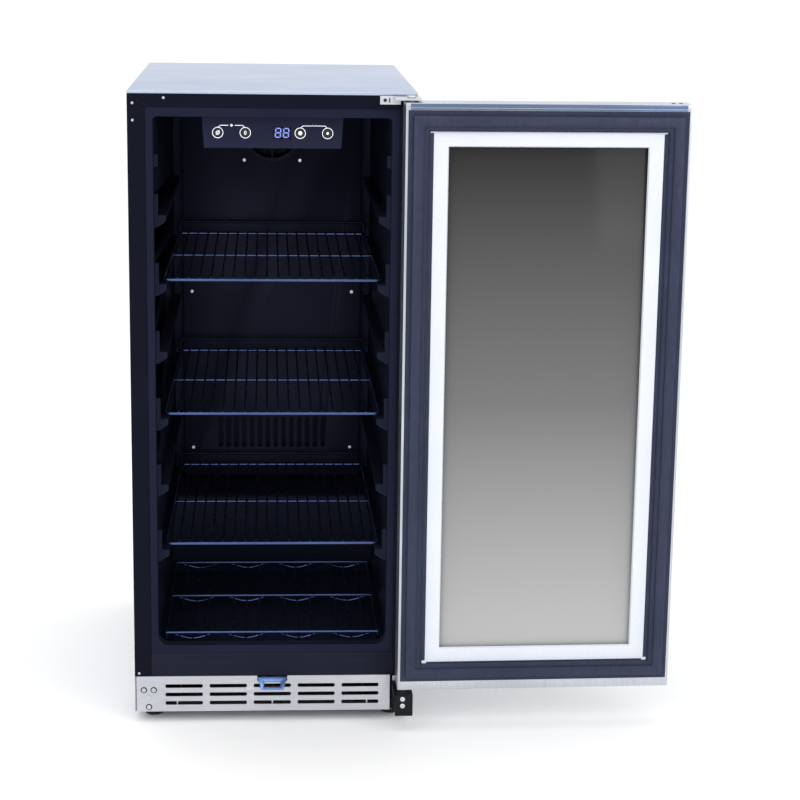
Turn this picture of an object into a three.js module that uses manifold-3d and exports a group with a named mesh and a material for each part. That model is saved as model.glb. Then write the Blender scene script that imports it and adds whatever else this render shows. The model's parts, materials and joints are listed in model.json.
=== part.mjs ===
// A built-in, glass-door beverage cooler with its door standing open.
// Millimetres, +Z up. While modelling, X = 0 is the cabinet's centre plane, Y = 0 its front face
// and Z = 0 the floor. The finished group is shifted so that its box stands centred on the origin.
import * as THREE from "three";
import { mergeVertices } from "three/addons/utils/BufferGeometryUtils.js";
import Module from "manifold-3d";

const wasm = await Module();
wasm.setup();

// ---------------------------------------------------------------- driving sizes

const GAP = 0.3; // clearance between pieces that rest on each other
const OVER = 1; // how far a cutting solid runs past the face it cuts

// Cabinet, outside
const CABINET_WIDTH = 375;
const CABINET_HEIGHT = 861;
const CABINET_DEPTH = 535;
const FOOT_HEIGHT = 15;
const PANEL_SHEET = 1;
const TOP_SHEET = 1.2;
const TOP_LIP = 3.7; // height of the bright folded edge of the top panel

// Black front frame and the trim below it
const FRAME_SIDE = 22.5;
const FRAME_TOP = 17;
const FRAME_DEPTH = 12;
const FRAME_SHEET = 1.2;
const KICK_HEIGHT = 50.7;
const TRIM_HEIGHT = 33;
const TRIM_SHEET = 1.5;
const TRIM_SETBACK = 0.6;

// Liner: the moulded cabin
const FLANGE_WIDTH = 9.7;
const FLANGE_SHEET = 2.5;
const FLANGE_SETBACK = 1;
const SILL_HEIGHT = 11;
const FLOOR_DROP = 14; // the cabin floor lies below the sill
const SILL_DEPTH = 18;
const LINER_WALL = 2.5;
const LINER_DRAFT = 4; // each side wall comes in by this much from front to back
const REAR_FOAM = 24;
const MOUTH_RADIUS_TOP = 6;
const MOUTH_RADIUS_BOTTOM = 16;
const FLOOR_RADIUS = 2;
const HUMP_DEPTH = 128;
const HUMP_HEIGHT = 124;
const HUMP_RADIUS = 14;
const FOAM_WALL = 26;

// Shelf rails on the liner's side walls
const RAIL_COUNT = 6;
const RAIL_PITCH = 91.5;
const FIRST_RAIL_ABOVE_FLOOR = 143;
const RAIL_REACH = 15;
const RAIL_DROP = 16;
const RAIL_START = 24;
const RAIL_LENGTH = 446;
const TAB_HEIGHT = 28;
const TAB_REACH = 5;
const TAB_LENGTH = 10;
const BOSS_HEIGHT = 16;
const BOSS_ABOVE_LAST_RAIL = 64;

// Wire shelves
const SHELF_SIDE_PLAY = 2;
const SHELF_BAR = 4.4;
const SHELF_MIDDLE_BAR = SHELF_BAR - 1;
const SHELF_WIRE = 2.6;
const SHELF_FRONT = 45;
const SHELF_DEPTH = 428;
const SHELF_WIRES = 18;
const SHELF_BACK_RISE = 18;
const RACK_DEPTH = 324;
const RACK_CRADLES = 4;
const RACK_SIDE_PLAY = 2;
const CRADLE_DEPTH = 8;
const BAR_SIDES = 6;
const WIRE_SIDES = 4;
const SHELF_TRAVEL_RAILS = [0, 2, 4]; // rails that carry the lower, middle and upper shelves

// Evaporator cover, coil and fan
const COVER_SHEET = 2;
const COVER_SIDE_MARGIN = 15; // cover to the liner wall, at the back
const COVER_SPACE = 23; // from the cover's front face to the liner's back wall
const FAN_OPENING = 86;
const FAN_BELOW_CEILING = 65;
const VENT_SLOTS = 14;
const VENT_PITCH = 12.4;
const VENT_SLOT = 6.4;
const VENT_HEIGHT = 48;
const VENT_ABOVE_HUMP = 47;
const EVAPORATOR_TUBE = 8;
const EVAPORATOR_RUNS = 7;
const EVAPORATOR_PITCH = 46;
const EVAPORATOR_SIDE_MARGIN = 2;
const EVAPORATOR_FAN = 76;

// Control housing under the cabin ceiling
const CONTROL_TOP = 186;
const CONTROL_BOTTOM = 180;
const CONTROL_HEIGHT = 43.7;
const CONTROL_SETBACK = 40;
const CONTROL_DEPTH = 80;
const CONTROL_WALL = 2;
const FASCIA_THICKNESS = 2.5;
const BUTTON_DIAMETER = 11.8;
const BUTTON_PLAY = 0.4;
const BUTTON_TRAVEL = 0.7;
const BUTTON_ABOVE_HOUSING_FLOOR = 20;
const BUTTON_PLACES = { power: -72, light: -36, cooler: 36, warmer: 72 };
const DISPLAY_WIDTH = 23;
const DISPLAY_HEIGHT = 15.5;
const DISPLAY_CENTRE = 12.2;
const LENS_WIDTH = 120;
const LENS_DEPTH = 20;

// Kick plate
const KICK_SHEET = 1.2;
const KICK_LEFT_INSET = 2.2;
const KICK_RIGHT_INSET = 26;
const KICK_CORNER = 8;
const KICK_SLOT_WIDTH = 51;
const KICK_SLOT_HEIGHT = 5.2;
const KICK_SLOT_PITCH = 60.3;
const KICK_ROW_PITCH = 12.2;
const KICK_FIRST_ROW = 12.2;
const KICK_END_MARGIN = 15; // plate left solid past the last slot
const NOTCH_WIDTH = 41;
const NOTCH_DEPTH = 8;

// Door
const DOOR_SIDE_REVEAL = 1.9; // the cabinet stands out past the shut door by this at each side
const DOOR_TOP_REVEAL = 9;
const DOOR_BOTTOM = 60;
const DOOR_BODY = 42;
const DOOR_OFFSET = 10; // the door body's inner face stands this far off the cabinet when shut
const DOOR_SHEET = 1;
const DOOR_OPEN_DEGREES = 181.5;
const HINGE_EDGE = 8.3; // hinge axis to the door's hinge edge
const HINGE_DEPTH = 27; // hinge axis in front of the cabinet's face
const RIM_SIDE = 5;
const RIM_END = 12;
const GASKET_WIDTH = 28;
const GASKET_PROUD = 9.5;
const WINDOW_SIDE = 57; // door edge to the window, at each side
const WINDOW_END = 59; // door edge to the window, at top and bottom
const TRIM_PROUD = 3.5;
const PANE = 4;
const PANE_BEHIND_EDGE = 10.3;
const SPACER_WIDTH = 9;
const GASKET_FOOT = 5;
const CUSHION_START = 4; // from the gasket's outer edge
const CUSHION_END = GASKET_WIDTH - 7;
const GROOVE_START = 10;
const GROOVE_END = 13;
const GROOVE_DEPTH = 2.5;
const LINER_PLATE = 2.7;

// Handle
const HANDLE_DIAMETER = 18;
const HANDLE_LENGTH = 430;
const HANDLE_STANDOFF = 40;
const HANDLE_FROM_EDGE = 34;
const HANDLE_CENTRE = 520;
const POST_DIAMETER = 12;
const POST_INSET = 40;

// Hinges
const PIN_DIAMETER = 8;
const PIN_PLAY = 0.3;
const BUSH_DIAMETER = 14;
const BUSH_LENGTH = 16;
const HINGE_PLATE = 2.7;
const ARM_WIDTH = 26;
const ARM_FORWARD = 17; // the arm runs this far in front of the hinge axis
const APRON_HEIGHT = 30;
const APRON_SHEET = 3;
const ARM_SHEET = 3.5;
const ARM_BELOW_DOOR = 6.5;
const LOWER_FOOT_REACH = 10; // to the right of the hinge axis
const LOWER_PIN_NUT = 3;
const LOWER_PIN_RIM = 2.4;
const LOWER_PIN_COLLAR = 4;
const UPPER_LEG_HEIGHT = 11;
const UPPER_LEG_REACH = 39; // to the left of the hinge axis
const UPPER_LEG_FRONT = 2.3;
const UPPER_PLATE_NOSE = 12;
const UPPER_PLATE_REACH = 22;
const UPPER_PIN_HEAD = 2;
const UPPER_PIN_RISE = 2.5;

// Lock
const LOCK_HEIGHT = 14; // barrel axis above the door's bottom edge
const BARREL_DIAMETER = 18;
const PLUG_DIAMETER = 12;
const CAM_LENGTH = 24;
const CAM_WIDTH = 9;
const CAM_THICKNESS = 3;
const STRIKE_SHEET = 1.5;
const STRIKE_FORWARD = 18;
const STRIKE_FALL = 11;
const STRIKE_TAPER = 5;
const STRIKE_SLOT_EDGE = 3;
const STRIKE_SLOT_SIDE = 4;
const STRIKE_SLOT_BACK = 6;
const CAM_RECESS = 4.5; // behind the door's inner sheet
const CAM_SWEEP_PLAY = 3;
const KEYWAY_WIDTH = 1.6;
const KEYWAY_HEIGHT = 7;
const KEYWAY_DEPTH = 8;

// Inside the control box
const LENS_SETBACK = 24;
const STEM_LENGTH = 4.7;
const STEM_DIAMETER = 4;
const BUTTON_PROUD = 0.7;
const CAP_CHAMFER = 0.6;
const CAP_FLANGE = 1.4;
const BOARD_MARGIN = 6;
const BOARD_THICKNESS = 1.6;

// Base, feet and machinery
const PAN_SHEET = 1.2;
const PAN_RIM = 12;
const FOOT_DIAMETER = 28;
const FOOT_STUD = 8;
const FOOT_STUD_LENGTH = 38; // above the pan
const FOOT_SIDE_INSET = 24;
const FOOT_FRONT_INSET = 36;
const BAY_DEPTH = 125;
const BAY_HEIGHT = 190;
const BAY_SHEET = 1;
const COMPRESSOR_DIAMETER = 104;
const COMPRESSOR_HEIGHT = 146;
const COMPRESSOR_FOOT_DEPTH = 88;
const COMPRESSOR_FOOT_REACH = 68;
const COMPRESSOR_FOOT_MARGIN = 13.5; // to the stud of the nearest levelling foot
const COMPRESSOR_FOOT_SHEET = 3;
const COMPRESSOR_BELLY = 14; // the shell reaches its full width this far up
const COMPRESSOR_SHOULDER = 34; // and leaves it this far below its top
const COMPRESSOR_CROWN = 12;
const TERMINAL_BOX_REACH = 18;
const TERMINAL_BOX_WIDTH = 40;
const TERMINAL_BOX_BOTTOM = 50; // above the shell's foot
const TERMINAL_BOX_TOP = 95;
const CONDENSER_TUBE = 6;
const CONDENSER_RUNS = 7;
const CONDENSER_PITCH = 38;
const CONDENSER_START = 46; // behind the cabinet's face
const CONDENSER_ABOVE_PAN = 24;
const CONDENSER_SIDE_MARGIN = 29.2;
const CONDENSER_PLATE = 1.2;
const CONDENSER_PLATE_INSET = 8; // from the end of the straight runs
const CONDENSER_PLATE_OVERHANG = 10;
const CONDENSER_PLATE_RISE = 12;
const CONDENSER_FAN = 108;
const CONDENSER_FAN_ABOVE_PAN = 16;
const CONDENSER_FAN_FROM_WALL = 14;
const CONDENSER_FAN_DEPTH = 16;
const CONDENSER_FAN_HUB = 34;
const CONDENSER_FAN_BLADES = 5;
const CONDENSER_MOTOR = 40;
const CONDENSER_MOTOR_LENGTH = 33;
const MOTOR_BRACKET_WIDTH = 28;
const MOTOR_BRACKET_SHEET = 3;
const MOTOR_BRACKET_FOOT = 20;
const MOTOR_BRACKET_BEHIND_FAN = 26;
const GUARD_THICKNESS = 2;
const GUARD_LAP = 3; // over the edge of the fan's opening
const GUARD_RIM = 5;
const GUARD_RING = 56;
const GUARD_WIRE = 2.5;
const GUARD_BOSS = 26;
const GUARD_SPOKE = 2.8;
const COVER_END_MARGIN = 1;
const EVAPORATOR_ABOVE_HUMP = 130;
const EVAPORATOR_FIN = 2;
const EVAPORATOR_FIN_DEPTH = 14;
const EVAPORATOR_FIN_INSET = 10; // from the end of the straight runs
const EVAPORATOR_FIN_OVERHANG = 9;
const EVAPORATOR_FAN_DEPTH = 9;
const EVAPORATOR_FAN_HUB = 26;
const EVAPORATOR_FAN_BLADES = 7;
const EVAPORATOR_MOTOR = 34;
const MOTOR_STRAP_LENGTH = 120;
const MOTOR_STRAP_WIDTH = 12;
const MOTOR_STRAP_SHEET = 2;
const FAN_BLADE = 1.6;
const FAN_BLADE_TURN = 48; // degrees
const FAN_BLADE_ROOT = 3; // how far each blade runs into the hub
const TRAY_GAP = 6; // behind the condenser
const TRAY_WIDTH = 220;
const TRAY_DEPTH = 68;
const TRAY_HEIGHT = 22;
const TRAY_WALL = 2;
const CONDENSER_FAN_MARGIN = 30.5; // to the stud of the nearest levelling foot
const INLET_DIAMETER = 18;
const INLET_FLANGE = 26;
const INLET_FROM_EDGE = 57.5; // from the cabinet's left side
const INLET_HEIGHT = 60;
const CORD_BORE = 7;
const INLET_FLANGE_THICKNESS = 6;
const REAR_SPLIT_DROP = 10; // the rear cover ends this far below the bay roof
const REAR_SHEET_FIT = 0.2;
const REAR_FOLD_LAP = 0.5;
const SIDE_SETBACK = 0.5; // the sides start this far behind the kick plate's face
const LOUVRES = 8;
const LOUVRE_PITCH = 15;
const LOUVRE_HEIGHT = 5;
const LOUVRE_START = -20;
const LOUVRE_FROM_EDGE = 57.5; // from the cabinet's right side
const LOUVRE_ABOVE_PAN = 40;

// ---------------------------------------------------------------- planes worked out from them

const halfWidth = CABINET_WIDTH / 2;
const frameTopZ = CABINET_HEIGHT - TOP_LIP - GAP;
const kickTopZ = FOOT_HEIGHT + KICK_HEIGHT;
const trimTopZ = kickTopZ + TRIM_HEIGHT;
const frameInnerX = halfWidth - FRAME_SIDE;
const frameInnerTopZ = frameTopZ - FRAME_TOP;
const flangeX = frameInnerX - GAP;
const flangeTopZ = frameInnerTopZ - GAP;
const flangeBottomZ = trimTopZ + GAP;
const mouthX = flangeX - FLANGE_WIDTH;
const mouthTopZ = flangeTopZ - FLANGE_WIDTH - 2;
const mouthBottomZ = flangeBottomZ + SILL_HEIGHT;
const floorZ = mouthBottomZ - FLOOR_DROP;
const linerBackY = CABINET_DEPTH - REAR_FOAM - LINER_WALL;
const humpFrontY = linerBackY - HUMP_DEPTH;
const humpTopZ = floorZ + HUMP_HEIGHT;
const coverY = linerBackY - COVER_SPACE;
const coverX = mouthX - LINER_DRAFT - COVER_SIDE_MARGIN;
const fanZ = mouthTopZ - FAN_BELOW_CEILING;
const innerX = halfWidth - PANEL_SHEET - GAP; // inside of the side panels
const studX = halfWidth - FOOT_SIDE_INSET - FOOT_STUD / 2;
const compressorX = studX - COMPRESSOR_FOOT_MARGIN - COMPRESSOR_FOOT_REACH;
const condenserFanX = -studX + CONDENSER_FAN_MARGIN + CONDENSER_FAN / 2;
const rearSheetY = CABINET_DEPTH - PANEL_SHEET - 0.5;
const bayFrontY = rearSheetY - GAP - BAY_DEPTH + 2;
const panTopZ = FOOT_HEIGHT + PAN_SHEET;
const bayRoofZ = kickTopZ + 1;
const doorTopZ = CABINET_HEIGHT - DOOR_TOP_REVEAL;
const doorX = halfWidth - DOOR_SIDE_REVEAL;
const doorInnerY = -DOOR_OFFSET;
const doorOuterY = doorInnerY - DOOR_BODY;
const hingeX = doorX - HINGE_EDGE;
const hingeY = -HINGE_DEPTH;
const windowX = doorX - WINDOW_SIDE;
const windowBottomZ = DOOR_BOTTOM + WINDOW_END;
const windowTopZ = doorTopZ - WINDOW_END;
const controlTopZ = mouthTopZ - GAP;
const controlBottomZ = controlTopZ - CONTROL_HEIGHT;
const buttonZ = controlBottomZ + BUTTON_ABOVE_HOUSING_FLOOR;
const lockZ = DOOR_BOTTOM + LOCK_HEIGHT;

// ---------------------------------------------------------------- shaping helpers

// A closed geometry as a solid that can be joined and cut.
function solid(geometry) {
  const bare = geometry.clone();
  bare.deleteAttribute("normal");
  bare.deleteAttribute("uv");
  const merged = mergeVertices(bare, 1e-4);
  const corners = merged.index.array;
  const kept = [];
  for (let i = 0; i < corners.length; i += 3) {
    const [a, b, c] = [corners[i], corners[i + 1], corners[i + 2]];
    if (a !== b && b !== c && c !== a) kept.push(a, b, c);
  }
  const mesh = new wasm.Mesh({
    numProp: 3,
    vertProperties: new Float32Array(merged.attributes.position.array),
    triVerts: new Uint32Array(kept),
  });
  const made = new wasm.Manifold(mesh);
  if (made.volume() >= 0) return made;
  const turned = [];
  for (let i = 0; i < kept.length; i += 3) turned.push(kept[i], kept[i + 2], kept[i + 1]);
  mesh.triVerts = new Uint32Array(turned);
  return new wasm.Manifold(mesh);
}

function join(...solids) {
  return solids.reduce((whole, next) => whole.add(next));
}

function cut(body, ...tools) {
  return tools.reduce((rest, tool) => rest.subtract(tool), body);
}

// A block between two corners.
function block(x0, x1, y0, y1, z0, z1) {
  const geometry = new THREE.BoxGeometry(x1 - x0, y1 - y0, z1 - z0);
  geometry.translate((x0 + x1) / 2, (y0 + y1) / 2, (z0 + z1) / 2);
  return solid(geometry);
}

// A block that is symmetric about X = 0.
function centred(x, y0, y1, z0, z1) {
  return block(-x, x, y0, y1, z0, z1);
}

// A rectangular ring in the XZ plane, symmetric about X = 0.
function ring(outer, inner, y0, y1) {
  const body = centred(outer.x, y0, y1, outer.z0, outer.z1);
  return cut(body, centred(inner.x, y0 - OVER, y1 + OVER, inner.z0, inner.z1));
}

// An outline in X and Z, drawn out along Y.
function alongY(shape, y0, y1, segments = 6) {
  const geometry = new THREE.ExtrudeGeometry(shape, {
    depth: y1 - y0,
    bevelEnabled: false,
    curveSegments: segments,
  });
  geometry.rotateX(Math.PI / 2);
  geometry.translate(0, y1, 0);
  return solid(geometry);
}

// An outline in Y and Z, drawn out along X.
function alongX(shape, x0, x1, segments = 6) {
  const geometry = new THREE.ExtrudeGeometry(shape, {
    depth: x1 - x0,
    bevelEnabled: false,
    curveSegments: segments,
  });
  const cycle = new THREE.Matrix4().set(0, 0, 1, x0, 1, 0, 0, 0, 0, 1, 0, 0, 0, 0, 0, 1);
  geometry.applyMatrix4(cycle);
  return solid(geometry);
}

// An outline in X and Y, drawn out along Z.
function alongZ(shape, z0, z1, segments = 6) {
  const geometry = new THREE.ExtrudeGeometry(shape, {
    depth: z1 - z0,
    bevelEnabled: false,
    curveSegments: segments,
  });
  geometry.translate(0, 0, z0);
  return solid(geometry);
}

function outline(points) {
  return new THREE.Shape(points.map(([a, b]) => new THREE.Vector2(a, b)));
}

// A rectangle with its own radius at the top and at the bottom corners.
function roundedRectangle(x0, x1, z0, z1, bottomRadius, topRadius) {
  const quarter = Math.PI / 2;
  const shape = new THREE.Shape();
  shape.moveTo(x0 + bottomRadius, z0);
  shape.absarc(x1 - bottomRadius, z0 + bottomRadius, bottomRadius, -quarter, 0, false);
  shape.absarc(x1 - topRadius, z1 - topRadius, topRadius, 0, quarter, false);
  shape.absarc(x0 + topRadius, z1 - topRadius, topRadius, quarter, 2 * quarter, false);
  shape.absarc(x0 + bottomRadius, z0 + bottomRadius, bottomRadius, 2 * quarter, 3 * quarter, false);
  return shape;
}

// A turned shape about a vertical axis, from its half outline of [radius, height] points.
function turned(profile, x, y, sides = 20) {
  const points = profile.map(([r, z]) => new THREE.Vector2(r, z));
  const geometry = new THREE.LatheGeometry(points, sides);
  geometry.rotateX(Math.PI / 2);
  geometry.translate(x, y, 0);
  return solid(geometry);
}

// The same about an axis along Y, from [radius, y] points.
function turnedAlongY(profile, x, z, sides = 20) {
  const points = profile.map(([r, y]) => new THREE.Vector2(r, y));
  const geometry = new THREE.LatheGeometry(points, sides);
  geometry.translate(x, 0, z);
  return solid(geometry);
}

function post(x, y, z0, z1, diameter, sides = 20) {
  const r = diameter / 2;
  return turned([[0, z0], [r, z0], [r, z1], [0, z1]], x, y, sides);
}

function postAlongY(x, z, y0, y1, diameter, sides = 20) {
  const r = diameter / 2;
  return turnedAlongY([[0, y0], [r, y0], [r, y1], [0, y1]], x, z, sides);
}

// A straight round bar between two points.
function bar(from, to, diameter, sides = BAR_SIDES) {
  const a = new THREE.Vector3(...from);
  const b = new THREE.Vector3(...to);
  const geometry = new THREE.CylinderGeometry(diameter / 2, diameter / 2, a.distanceTo(b), sides);
  const direction = b.clone().sub(a).normalize();
  const turn = new THREE.Quaternion().setFromUnitVectors(new THREE.Vector3(0, 1, 0), direction);
  geometry.applyQuaternion(turn);
  geometry.translate((a.x + b.x) / 2, (a.y + b.y) / 2, (a.z + b.z) / 2);
  return solid(geometry);
}

// A route through chosen points, whose tube has one ring of corners at each of them.
class Route extends THREE.Curve {
  constructor(points) {
    super();
    this.points = points.map((p) => new THREE.Vector3(...p));
  }

  getPoint(t, target = new THREE.Vector3()) {
    const place = t * (this.points.length - 1);
    const low = Math.min(Math.floor(place), this.points.length - 2);
    return target.lerpVectors(this.points[low], this.points[low + 1], place - low);
  }

  getPointAt(u, target) {
    return this.getPoint(u, target);
  }

  getTangentAt(u, target = new THREE.Vector3()) {
    const last = this.points.length - 1;
    const near = Math.round(u * last);
    const before = this.points[Math.max(near - 1, 0)];
    const here = this.points[near];
    const after = this.points[Math.min(near + 1, last)];
    const arrive = here.clone().sub(before).normalize();
    const leave = after.clone().sub(here).normalize();
    return target.copy(arrive).add(leave).normalize();
  }
}

function tube(points, diameter, sides = BAR_SIDES) {
  const section = new THREE.Shape();
  for (let i = 0; i < sides; i += 1) {
    const angle = (2 * Math.PI * i) / sides;
    const x = (Math.cos(angle) * diameter) / 2;
    const y = (Math.sin(angle) * diameter) / 2;
    if (i) section.lineTo(x, y);
    else section.moveTo(x, y);
  }
  section.closePath();
  const route = new Route(points);
  const geometry = new THREE.ExtrudeGeometry(section, {
    steps: points.length - 1,
    extrudePath: route,
    bevelEnabled: false,
  });
  return solid(geometry);
}

// Points of a serpentine of straight runs along X, joined by half circles; place turns the
// run's own two coordinates into a point.
function serpentine(runs, pitch, width, place) {
  const points = [];
  const arcSteps = 4;
  for (let run = 0; run < runs; run += 1) {
    const side = run % 2 ? -1 : 1;
    const along = run * pitch;
    points.push(place((-side * width) / 2, along));
    points.push(place((side * width) / 2, along));
    if (run === runs - 1) break;
    for (let step = 1; step < arcSteps; step += 1) {
      const angle = (Math.PI * step) / arcSteps;
      const reach = (Math.sin(angle) * pitch) / 2;
      const rise = ((1 - Math.cos(angle)) * pitch) / 2;
      points.push(place(side * (width / 2 + reach), along + rise));
    }
  }
  return points;
}

// ---------------------------------------------------------------- materials

function finish(color, metalness, roughness, extra = {}) {
  return new THREE.MeshStandardMaterial({ color, metalness, roughness, ...extra });
}

const stainless = finish(0xc3cbd8, 1, 0.32);
const brushed = finish(0xbcc0c8, 1, 0.38);
const galvanised = finish(0x9a9fa6, 0.9, 0.5);
const blackSteel = finish(0x191a25, 0.3, 0.35);
const blackCasting = finish(0x101014, 0.4, 0.5);
const linerPlastic = finish(0x1c1e2c, 0, 0.42);
const trimPlastic = finish(0x26282f, 0, 0.45);
const coverPlastic = finish(0x1b1b26, 0, 0.5);
const foam = finish(0xd8c48a, 0, 0.95);
const gasketRubber = finish(0x3f4257, 0, 0.55);
const whiteTrim = finish(0xf4f6f8, 0, 0.35);
const glass = finish(0x8c9096, 0.1, 0.06, { transparent: true, opacity: 0.45 });
const spacerMetal = finish(0xa9adb2, 0.9, 0.4);
const wireCoat = finish(0x23242f, 0.3, 0.3);
const strikeMetal = finish(0x6486c4, 0.8, 0.3);
const copper = finish(0x9c5a36, 0.9, 0.35);
const compressorPaint = finish(0x15161a, 0.2, 0.4);
const fanPlastic = finish(0x202126, 0, 0.5);
const boardGreen = finish(0x24442f, 0, 0.6);
const controlPlastic = finish(0x2a2c38, 0, 0.4);
const buttonPlastic = finish(0x30323e, 0, 0.35);
const displaySmoke = finish(0x12141d, 0, 0.1, { transparent: true, opacity: 0.7 });
const lensWhite = finish(0xe8ecef, 0, 0.4, { transparent: true, opacity: 0.8 });
const footRubber = finish(0x17181b, 0, 0.7);
const acetal = finish(0xe2e3e0, 0, 0.4);
const pinSteel = finish(0xb4b7bc, 1, 0.3);

const fridge = new THREE.Group();
const cabinet = new THREE.Group();
fridge.add(cabinet);

// The door is modelled shut and then turned open about its hinge axis.
const doorPivot = new THREE.Group();
doorPivot.position.set(hingeX, hingeY, 0);
doorPivot.rotation.z = THREE.MathUtils.degToRad(DOOR_OPEN_DEGREES);
cabinet.add(doorPivot);
const door = new THREE.Group();
door.position.set(-hingeX, -hingeY, 0);
doorPivot.add(door);

// Adds a finished solid to a group as a named mesh.
function add(group, name, body, material) {
  const made = body.getMesh();
  const geometry = new THREE.BufferGeometry();
  geometry.setAttribute("position", new THREE.Float32BufferAttribute(made.vertProperties, 3));
  geometry.setIndex(new THREE.BufferAttribute(new Uint32Array(made.triVerts), 1));
  geometry.computeVertexNormals();
  const mesh = new THREE.Mesh(geometry, material);
  mesh.name = name;
  group.add(mesh);
}

// ---------------------------------------------------------------- cabinet shell

function addTopPanel() {
  const z = CABINET_HEIGHT - TOP_SHEET;
  const whole = centred(halfWidth, 0, CABINET_DEPTH, CABINET_HEIGHT - TOP_LIP, CABINET_HEIGHT);
  const inside = centred(
    halfWidth - TOP_SHEET,
    TOP_SHEET,
    CABINET_DEPTH - TOP_SHEET,
    CABINET_HEIGHT - TOP_LIP - OVER,
    z,
  );
  add(cabinet, "top_panel", cut(whole, inside), stainless);
}

// Each side panel steps forward below the front frame, beside the kick plate.
function addSidePanel(name, side) {
  const inner = halfWidth - PANEL_SHEET;
  const [x0, x1] = side > 0 ? [inner, halfWidth] : [-halfWidth, -inner];
  const behindFrame = FRAME_DEPTH + GAP;
  const upper = block(x0, x1, behindFrame, CABINET_DEPTH, FOOT_HEIGHT, frameTopZ);
  const lower = block(x0, x1, SIDE_SETBACK, behindFrame + OVER, FOOT_HEIGHT, kickTopZ);
  const foldInner = inner - FRAME_DEPTH;
  const [f0, f1] = side > 0 ? [foldInner, inner + REAR_FOLD_LAP] : [-inner - REAR_FOLD_LAP, -foldInner];
  const rearFold = block(f0, f1, CABINET_DEPTH - PANEL_SHEET, CABINET_DEPTH, FOOT_HEIGHT, frameTopZ);
  add(cabinet, name, join(upper, lower, rearFold), stainless);
}

function addRearPanels() {
  const x = innerX;
  const split = FOOT_HEIGHT + BAY_HEIGHT - REAR_SPLIT_DROP;
  const y1 = rearSheetY + REAR_SHEET_FIT;
  const y0 = y1 - PANEL_SHEET;
  const panel = centred(x, y0, y1, split + GAP, frameTopZ - GAP);
  add(cabinet, "rear_panel", panel, galvanised);
  let cover = centred(x, y0, y1, panTopZ + GAP, split);
  const lastX = halfWidth - LOUVRE_FROM_EDGE;
  for (let row = 0; row < LOUVRES; row += 1) {
    const z = panTopZ + LOUVRE_ABOVE_PAN + row * LOUVRE_PITCH;
    cover = cut(cover, block(LOUVRE_START, lastX, y0 - OVER, CABINET_DEPTH, z, z + LOUVRE_HEIGHT));
  }
  const inletX = -halfWidth + INLET_FROM_EDGE;
  const along = (from, to, diameter) => postAlongY(inletX, INLET_HEIGHT, from, to, diameter);
  cover = cut(cover, along(y0 - OVER, CABINET_DEPTH, INLET_DIAMETER + 2 * GAP));
  add(cabinet, "rear_cover", cover, galvanised);
  const flangeY = y0 - INLET_FLANGE_THICKNESS;
  const gland = join(
    along(flangeY, CABINET_DEPTH - GAP, INLET_DIAMETER),
    along(flangeY, y0 - GAP, INLET_FLANGE),
  );
  const bore = along(flangeY - OVER, CABINET_DEPTH + OVER, CORD_BORE);
  add(cabinet, "mains_inlet", cut(gland, bore), footRubber);
}

// An arch of sheet steel folded into a channel: two legs and a top member.
function addFrontFrame() {
  const outer = centred(halfWidth, 0, FRAME_DEPTH, kickTopZ + GAP, frameTopZ);
  const opening = centred(frameInnerX, -OVER, FRAME_DEPTH + OVER, 0, frameInnerTopZ);
  const hollowOuter = centred(
    halfWidth - FRAME_SHEET,
    FRAME_SHEET,
    FRAME_DEPTH + OVER,
    kickTopZ + GAP + FRAME_SHEET,
    frameTopZ - FRAME_SHEET,
  );
  const hollowInner = centred(
    frameInnerX + FRAME_SHEET,
    -OVER,
    FRAME_DEPTH + 2 * OVER,
    0,
    frameInnerTopZ + FRAME_SHEET,
  );
  const channel = cut(hollowOuter, hollowInner);
  add(cabinet, "front_frame", cut(outer, opening, channel), blackSteel);
}

function addLowerTrim() {
  const x = frameInnerX - GAP;
  const z0 = kickTopZ + GAP;
  const face = centred(x, TRIM_SETBACK, TRIM_SETBACK + TRIM_SHEET, z0, trimTopZ);
  const fold = centred(x, TRIM_SETBACK, FRAME_DEPTH - 1, trimTopZ - TRIM_SHEET, trimTopZ);
  add(cabinet, "lower_trim", join(face, fold), trimPlastic);
}

// ---------------------------------------------------------------- liner and insulation

// The cabin's inside space, tapered towards the back, less the hump over the machine bay.
function cabinSpace(grow) {
  const yFront = SILL_DEPTH;
  const yBack = linerBackY + grow;
  const bottom = floorZ - grow;
  const top = mouthTopZ + grow;
  const x = mouthX + grow;
  const shape = roundedRectangle(-x, x, bottom, top, FLOOR_RADIUS + grow, MOUTH_RADIUS_TOP + grow);
  const main = taperToBack(shape, yFront - grow, yBack, LINER_DRAFT);
  const hump = humpBlock(grow);
  return cut(main, hump);
}

// Draws an outline along Y and brings its far end in by draft at each side.
function taperToBack(shape, y0, y1, draft) {
  const geometry = new THREE.ExtrudeGeometry(shape, {
    depth: y1 - y0,
    bevelEnabled: false,
    curveSegments: 3,
  });
  geometry.rotateX(Math.PI / 2);
  geometry.translate(0, y1, 0);
  const places = geometry.attributes.position;
  const middle = (y0 + y1) / 2;
  for (let i = 0; i < places.count; i += 1) {
    if (places.getY(i) < middle) continue;
    places.setX(i, (places.getX(i) * (mouthX - draft)) / mouthX);
  }
  return solid(geometry);
}

// The step in the cabin floor; its top front edge is rounded.
function humpBlock(shrink) {
  const y0 = humpFrontY + shrink;
  const y1 = linerBackY + 10;
  const z0 = floorZ - 10;
  const z1 = humpTopZ - shrink;
  const radius = HUMP_RADIUS - shrink;
  const shape = new THREE.Shape();
  shape.moveTo(y0, z0);
  shape.lineTo(y1, z0);
  shape.lineTo(y1, z1);
  shape.lineTo(y0 + radius, z1);
  shape.absarc(y0 + radius, z1 - radius, radius, Math.PI / 2, Math.PI, false);
  return alongX(shape, -halfWidth, halfWidth, 4);
}

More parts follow.
